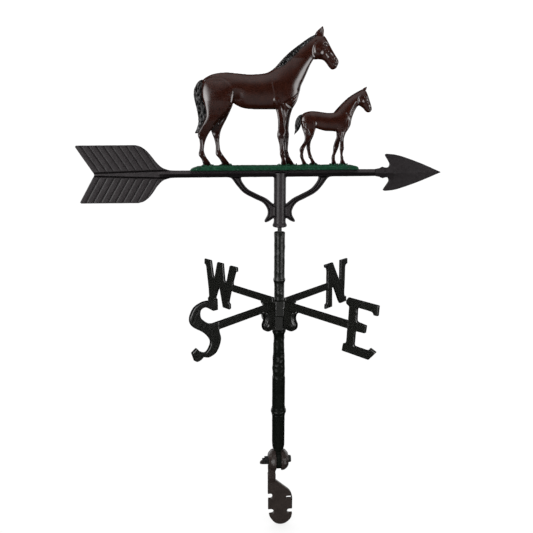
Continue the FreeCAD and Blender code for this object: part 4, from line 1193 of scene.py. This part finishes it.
def seam_line(points, low, high):
    """Faint parting line of the mould down the front and back of a pole."""
    angle = np.degrees(np.arctan2(points[:, 1], points[:, 0]))
    off = np.minimum(np.abs(angle + 84), np.abs(angle - 96))
    return -0.28 * bell(off, 5.0) * fade(points[:, 2] - low, 3) * fade(high - points[:, 2], 3)


def bead_field(space, z, radius, proud, half_h, scale):
    """Rounded ring around a pole, `proud` of `radius`."""
    return (np.hypot(np.maximum(space.radius - radius, 0) / proud, (space.z - z) / half_h) - 1) * scale


def build_lower_pole(materials):
    """Pole with a tongue for the feet below, a bead, a waist, and a spigot inside the compass hub."""
    space = space_over((-17, -17, PIVOT_Z - 17), (17, 17, HUB_TOP + 1), 0.55)
    heights = [19, 21, 24, 29, 34, 158, 175, 198, 219, 227, 229, 232, 236, 237, 237.1, 286]
    radii = [6.6, 8.4, 9.5, 10.3, LOWER_R, LOWER_R, 10.4, 9.6, 8.9, 8.9, 9.4, 10.2, 10.4, 10.2, 5.75, 5.75]
    pole = turned(space, radii, np.array(heights) + PIVOT_Z)
    pole = np.maximum(pole, np.maximum(PIVOT_Z + 19 - space.z, space.z - HUB_TOP + 0.5))
    bead_z = PIVOT_Z + 93
    field = smooth_union(pole, bead_field(space, bead_z, 9.3, 3.5, 4.8, 3.4), 0.8)
    for ring_z in (bead_z - 6.2, bead_z + 6.2):
        lip = np.hypot(space.radius - LOWER_R, space.z - ring_z) - 0.8
        field = smooth_union(field, lip, 0.8)
    around_bolt = np.hypot(space.y, space.z - PIVOT_Z)
    web = np.maximum(np.abs(space.y) - 6.5, np.abs(space.z - PIVOT_Z - 10) - 11)
    tongue = np.maximum(np.minimum(around_bolt - TONGUE_R, web), np.abs(space.x) - TONGUE_HALF_T)
    field = np.maximum(smooth_union(field, tongue, 1.0), 3.2 - around_bolt)
    points, faces = nets(space, field)
    low, high = PIVOT_Z + 160, HUB_BOTTOM - 10
    marks = hammered(points, low, high, 9.0, 5.4, 1.1, 61) - 0.4 * (points[:, 2] > low)
    marks += hammered(points, PIVOT_Z + 30, low, LOWER_R, 6.5, 0.22, 62)
    marks += seam_line(points, PIVOT_Z + 36, low)
    marks[points[:, 2] > HUB_BOTTOM - 2] = 0
    points = roughen(sink(points, marks), faces, 2.4, 0.09, 63)
    add_piece("lower_pole_casting", points, faces, materials["lower_pole"], "mast",
              ("lower_pole",))


def build_upper_pole(materials):
    """Hammered pole with one bead, bored for the spindle at its top."""
    space = space_over((-11, -11, HUB_TOP - 1), (11, 11, POLE_TOP + 1), 0.5)
    pole = turned(space, [UPPER_R, UPPER_R, UPPER_R - 0.9], [HUB_TOP, POLE_TOP - 1.0, POLE_TOP])
    pole = np.maximum(pole, np.maximum(HUB_TOP - space.z, space.z - POLE_TOP))
    bead_z = HUB_TOP + 0.3 * (POLE_TOP - HUB_TOP)
    field = smooth_union(pole, bead_field(space, bead_z, 7.3, 2.1, 3.9, 2.0), 0.6)
    field = np.maximum(field, np.where(space.z > POLE_TOP - 30, 3.2 - space.radius, -FAR))
    points, faces = nets(space, field)
    marks = hammered(points, bead_z + 6, POLE_TOP - 4, UPPER_R, 4.8, 0.5, 64)
    marks += hammered(points, HUB_TOP + 3, bead_z - 6, UPPER_R, 6.0, 0.9, 65)
    marks += seam_line(points, HUB_TOP + 4, POLE_TOP - 3)
    marks[np.hypot(points[:, 0], points[:, 1]) < UPPER_R - 1.2] = 0
    points = roughen(sink(points, marks), faces, 2.4, 0.07, 66)
    add_piece("upper_pole_casting", points, faces, materials["pole"], "mast", ("upper_pole",))


# ---------------------------------------------------------------- feet

def foot_shape():
    return outline(
        (-17.5, 62), (-17.5, 21.5), [(-17.5, 21.5), (-11.5, 21.3), (-9.4, 16.5), (-11.5, 11.5), (-17, 11)],
        [(-17, -10), (-10.5, -10.3), (-7, -14.5), (-9.5, -19), (-15.5, -20.5)],
        [(-15.5, -20.5), (-13, -28), (-5, -38.5), (4.5, FLOOR_Z + 0.1), (14, -39.5), (22, -31.5),
         (24.5, -22.5)], [(24.5, -20.5), (18.5, -20), (15.5, -15.8), (18, -11.6), (24.6, -11.2)],
        [(24.6, 10), (23.4, 17), (19, 26.5), (8, 37), (-5, 49)], (-5, 62))


def foot_mesh():
    """Front foot: slotted plate, arm that thickens into the knuckle, and the half ball."""
    space = space_over((-22, -20, FLOOR_Z - 2), (27, 20, PIVOT_Z + 20.5), 0.5)
    slot = outline(
        (15, 10.5), [(22, 10.5), (22.8, 12.7), (22, 14.9)], [(15, 14.9), (14.2, 12.7), (15, 10.5)])
    flat = np.maximum(distance(space, foot_shape()) - 0.3, -distance(space, slot))
    half_t = np.interp(space.z, [44, 50, 56], [2.25, 3.0, 4.0])
    arm = plate(space, np.abs(space.x + 11.25) - 6.25, 4.0, 1.0, -4.0)
    arm = np.maximum(arm, np.maximum(FOOT_ARM_Z - space.z, space.z - PIVOT_Z))
    field = smooth_union(plate(space, flat, half_t, 1.0, -half_t), arm, 1.0)
    around_bolt = np.hypot(space.y, space.z - PIVOT_Z)
    ball = smooth_common(np.hypot(space.x, around_bolt) - KNUCKLE_R, around_bolt - 18.2, 3.0)
    ball = smooth_common(ball, space.x + TONGUE_HALF_T + 0.2, 0.8)
    field = smooth_union(field, ball, 2.0)
    tongue_room = np.maximum(around_bolt - TONGUE_R - 0.5, -TONGUE_HALF_T - 0.1 - space.x)
    washer_seat = np.maximum(around_bolt - WASHER_SEAT_R, space.x + 16.5)
    field = np.maximum(field, -np.minimum(tongue_room, washer_seat))
    field = np.maximum(field, BOLT_BORE_R - around_bolt)
    knuckle_bottom = PIVOT_Z - KNUCKLE_R
    field = np.maximum(field, np.where(space.z < knuckle_bottom, space.y, -FAR))
    points, faces = nets(space, field)
    rough = roughen(points, faces, 3.2, 0.42, 71)
    # Flat faces that meet the tongue, the bolt or the other foot stay smooth.
    x, y, z = points.T
    share = np.clip((z - 50) / 12, 0.2, 1) * np.clip(np.hypot(y, z - PIVOT_Z) - 10, 0, 1)
    share = share * np.clip(-4.6 - x + (z < 50) * FAR, 0, 1)
    share = np.where((z < knuckle_bottom) & (y > -0.6), 0, share)
    return points + (rough - points) * share[:, None], faces


def build_feet(materials):
    points, faces = foot_mesh()
    add_piece("front_foot_casting", points, faces, materials["foot"], "front_bracket",
              ("front_foot",))
    back = points * np.array([-1.0, -1.0, 1.0]) - np.array([0, 0, PIVOT_Z])
    back[:, 1] += FOOT_GAP * fade(-KNUCKLE_R - back[:, 2], 2.0)
    back = rotated(back, REAR_FOOT_DEG, 1, 2) + np.array([0, 0, PIVOT_Z])
    add_piece("rear_foot_casting", back, faces, materials["foot"], "rear_bracket",
              ("rear_foot",))


# ---------------------------------------------------------------- hardware

def dress_hardware(materials):
    """CAD parts that are shown as they are only get their metal or plastic."""
    finishes = {
        "steel": ("thrust_ball", "tie_stud", "arrow_head_stud", "ornament_screws"),
        "dark_steel": ("pivot_bolt", "pivot_nut", "pivot_washers", "spindle_pin", "compass_set_screw"),
        "bushing": ("hub_bushings",),
    }
    for finish, parts in finishes.items():
        for part in parts:
            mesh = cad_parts[part].data
            mesh.materials.clear()
            mesh.materials.append(materials[finish])


# ---------------------------------------------------------------- studio

def make_floor():
    """White floor that only the camera sees, with a soft contact shade."""
    mesh = bpy.data.meshes.new("floor")
    z = FLOOR_Z * MM - 0.0005
    mesh.from_pydata([(-6, -6, z), (6, -6, z), (6, 6, z), (-6, 6, z)], [], [(0, 1, 2, 3)])
    floor = bpy.data.objects.new("floor", mesh)
    material = bpy.data.materials.new("floor_white")
    material.use_nodes = True
    tree = material.node_tree
    shade = node(tree, "AmbientOcclusion", {"Distance": 0.05}).outputs["AO"]
    level = node(tree, "MapRange", {"Value": shade, "To Min": 0.72, "To Max": 1.02}).outputs["Result"]
    glow = node(tree, "Emission", {"Strength": level}).outputs["Emission"]
    feed(tree, tree.nodes["Material Output"], {"Surface": glow})
    mesh.materials.append(material)
    for ray in ("diffuse", "glossy", "transmission", "shadow"):
        setattr(floor, "visible_" + ray, False)
    bpy.context.scene.collection.objects.link(floor)


def lobe(tree, direction, inner, outer, strength):
    """Soft round light far off in a direction: full inside `inner` degrees and gone past `outer`."""
    place = node(tree, "TexCoord").outputs["Generated"]
    facing = node(tree, "VectorMath", {0: place, 1: Vector(direction).normalized()}, operation="DOT_PRODUCT")
    glow = node(tree, "MapRange", {
        "Value": facing.outputs["Value"], "From Min": math.cos(math.radians(outer)),
        "From Max": math.cos(math.radians(inner)), "To Max": strength,
    }, interpolation_type="SMOOTHSTEP")
    return glow.outputs["Result"]


def make_world():
    """Plain white to the camera. The object is lit by wide soft lights around it and above."""
    world = bpy.data.worlds.new("studio")
    bpy.context.scene.world = world
    world.use_nodes = True
    tree = world.node_tree
    total = lobe(tree, (-0.68, -0.73, 0.02), 4, 28, 8.5)
    for light in (((0.79, -0.61, -0.04), 3, 24, 6.5), ((-0.05, -0.88, -0.48), 4, 30, 0.32),
                  ((0.0, -0.46, 0.89), 15, 50, 0.7), ((-0.62, 0.78, 0.08), 8, 36, 2.4),
                  ((0.74, 0.66, 0.08), 8, 36, 2.0)):
        total = node(tree, "Math", {0: total, 1: lobe(tree, *light)}).outputs["Value"]
    fill = node(tree, "Math", {0: total, 1: 0.02}).outputs["Value"]
    seen = node(tree, "LightPath").outputs["Is Camera Ray"]
    strength = node(tree, "Mix", data_type="FLOAT")
    feed(tree, strength, {"Factor": seen, "A": fill, "B": 1.05})
    feed(tree, tree.nodes["Background"], {"Strength": strength.outputs["Result"], "Color": (1, 1, 1, 1)})


def make_matte_lights():
    """Broad lights that reach matte surfaces only: one above, and two behind so the far side isn't black."""
    lights = [("above", (-0.2, -0.5, 0.9), 2.4), ("back_left", (-0.75, 0.90, 0.55), 2.2),
              ("back_right", (0.85, 0.75, 0.45), 2.2)]
    for name, direction, energy in lights:
        lamp = bpy.data.lights.new(name, "SUN")
        lamp.energy = energy
        lamp.angle = math.radians(40)
        light = bpy.data.objects.new(name, lamp)
        light.rotation_mode = "QUATERNION"
        light.rotation_quaternion = Vector(direction).to_track_quat("Z", "Y")
        light.visible_glossy = False
        bpy.context.scene.collection.objects.link(light)


def make_camera():
    """Camera in front of the vane, a little above its middle and looking down on it."""
    camera = bpy.data.objects.new("camera", bpy.data.cameras.new("camera"))
    bpy.context.scene.collection.objects.link(camera)
    camera.location = (-0.0860, -0.7553, 0.6360)
    camera.rotation_mode = "QUATERNION"
    camera.rotation_quaternion = Vector((0.0843, 0.9602, -0.2666)).to_track_quat("-Z", "Y")
    camera.data.sensor_width = 36.0
    camera.data.lens = 34.99
    camera.data.clip_start = 0.01
    bpy.context.scene.camera = camera


def set_view():
    bpy.context.scene.view_settings.view_transform = "Standard"
    bpy.context.scene.view_settings.look = "None"


# ---------------------------------------------------------------- all pieces

def build():
    materials = make_materials()
    for build_part in (build_mare, build_mare_tail, build_foal, build_foal_tail, build_foal_mane, build_turf,
                       build_arrow, build_arrow_head, build_compass, build_lower_pole, build_upper_pole,
                       build_feet, dress_hardware):
        build_part(materials)
    for set_up in (make_floor, make_world, make_matte_lights, make_camera, set_view):
        set_up()


build()
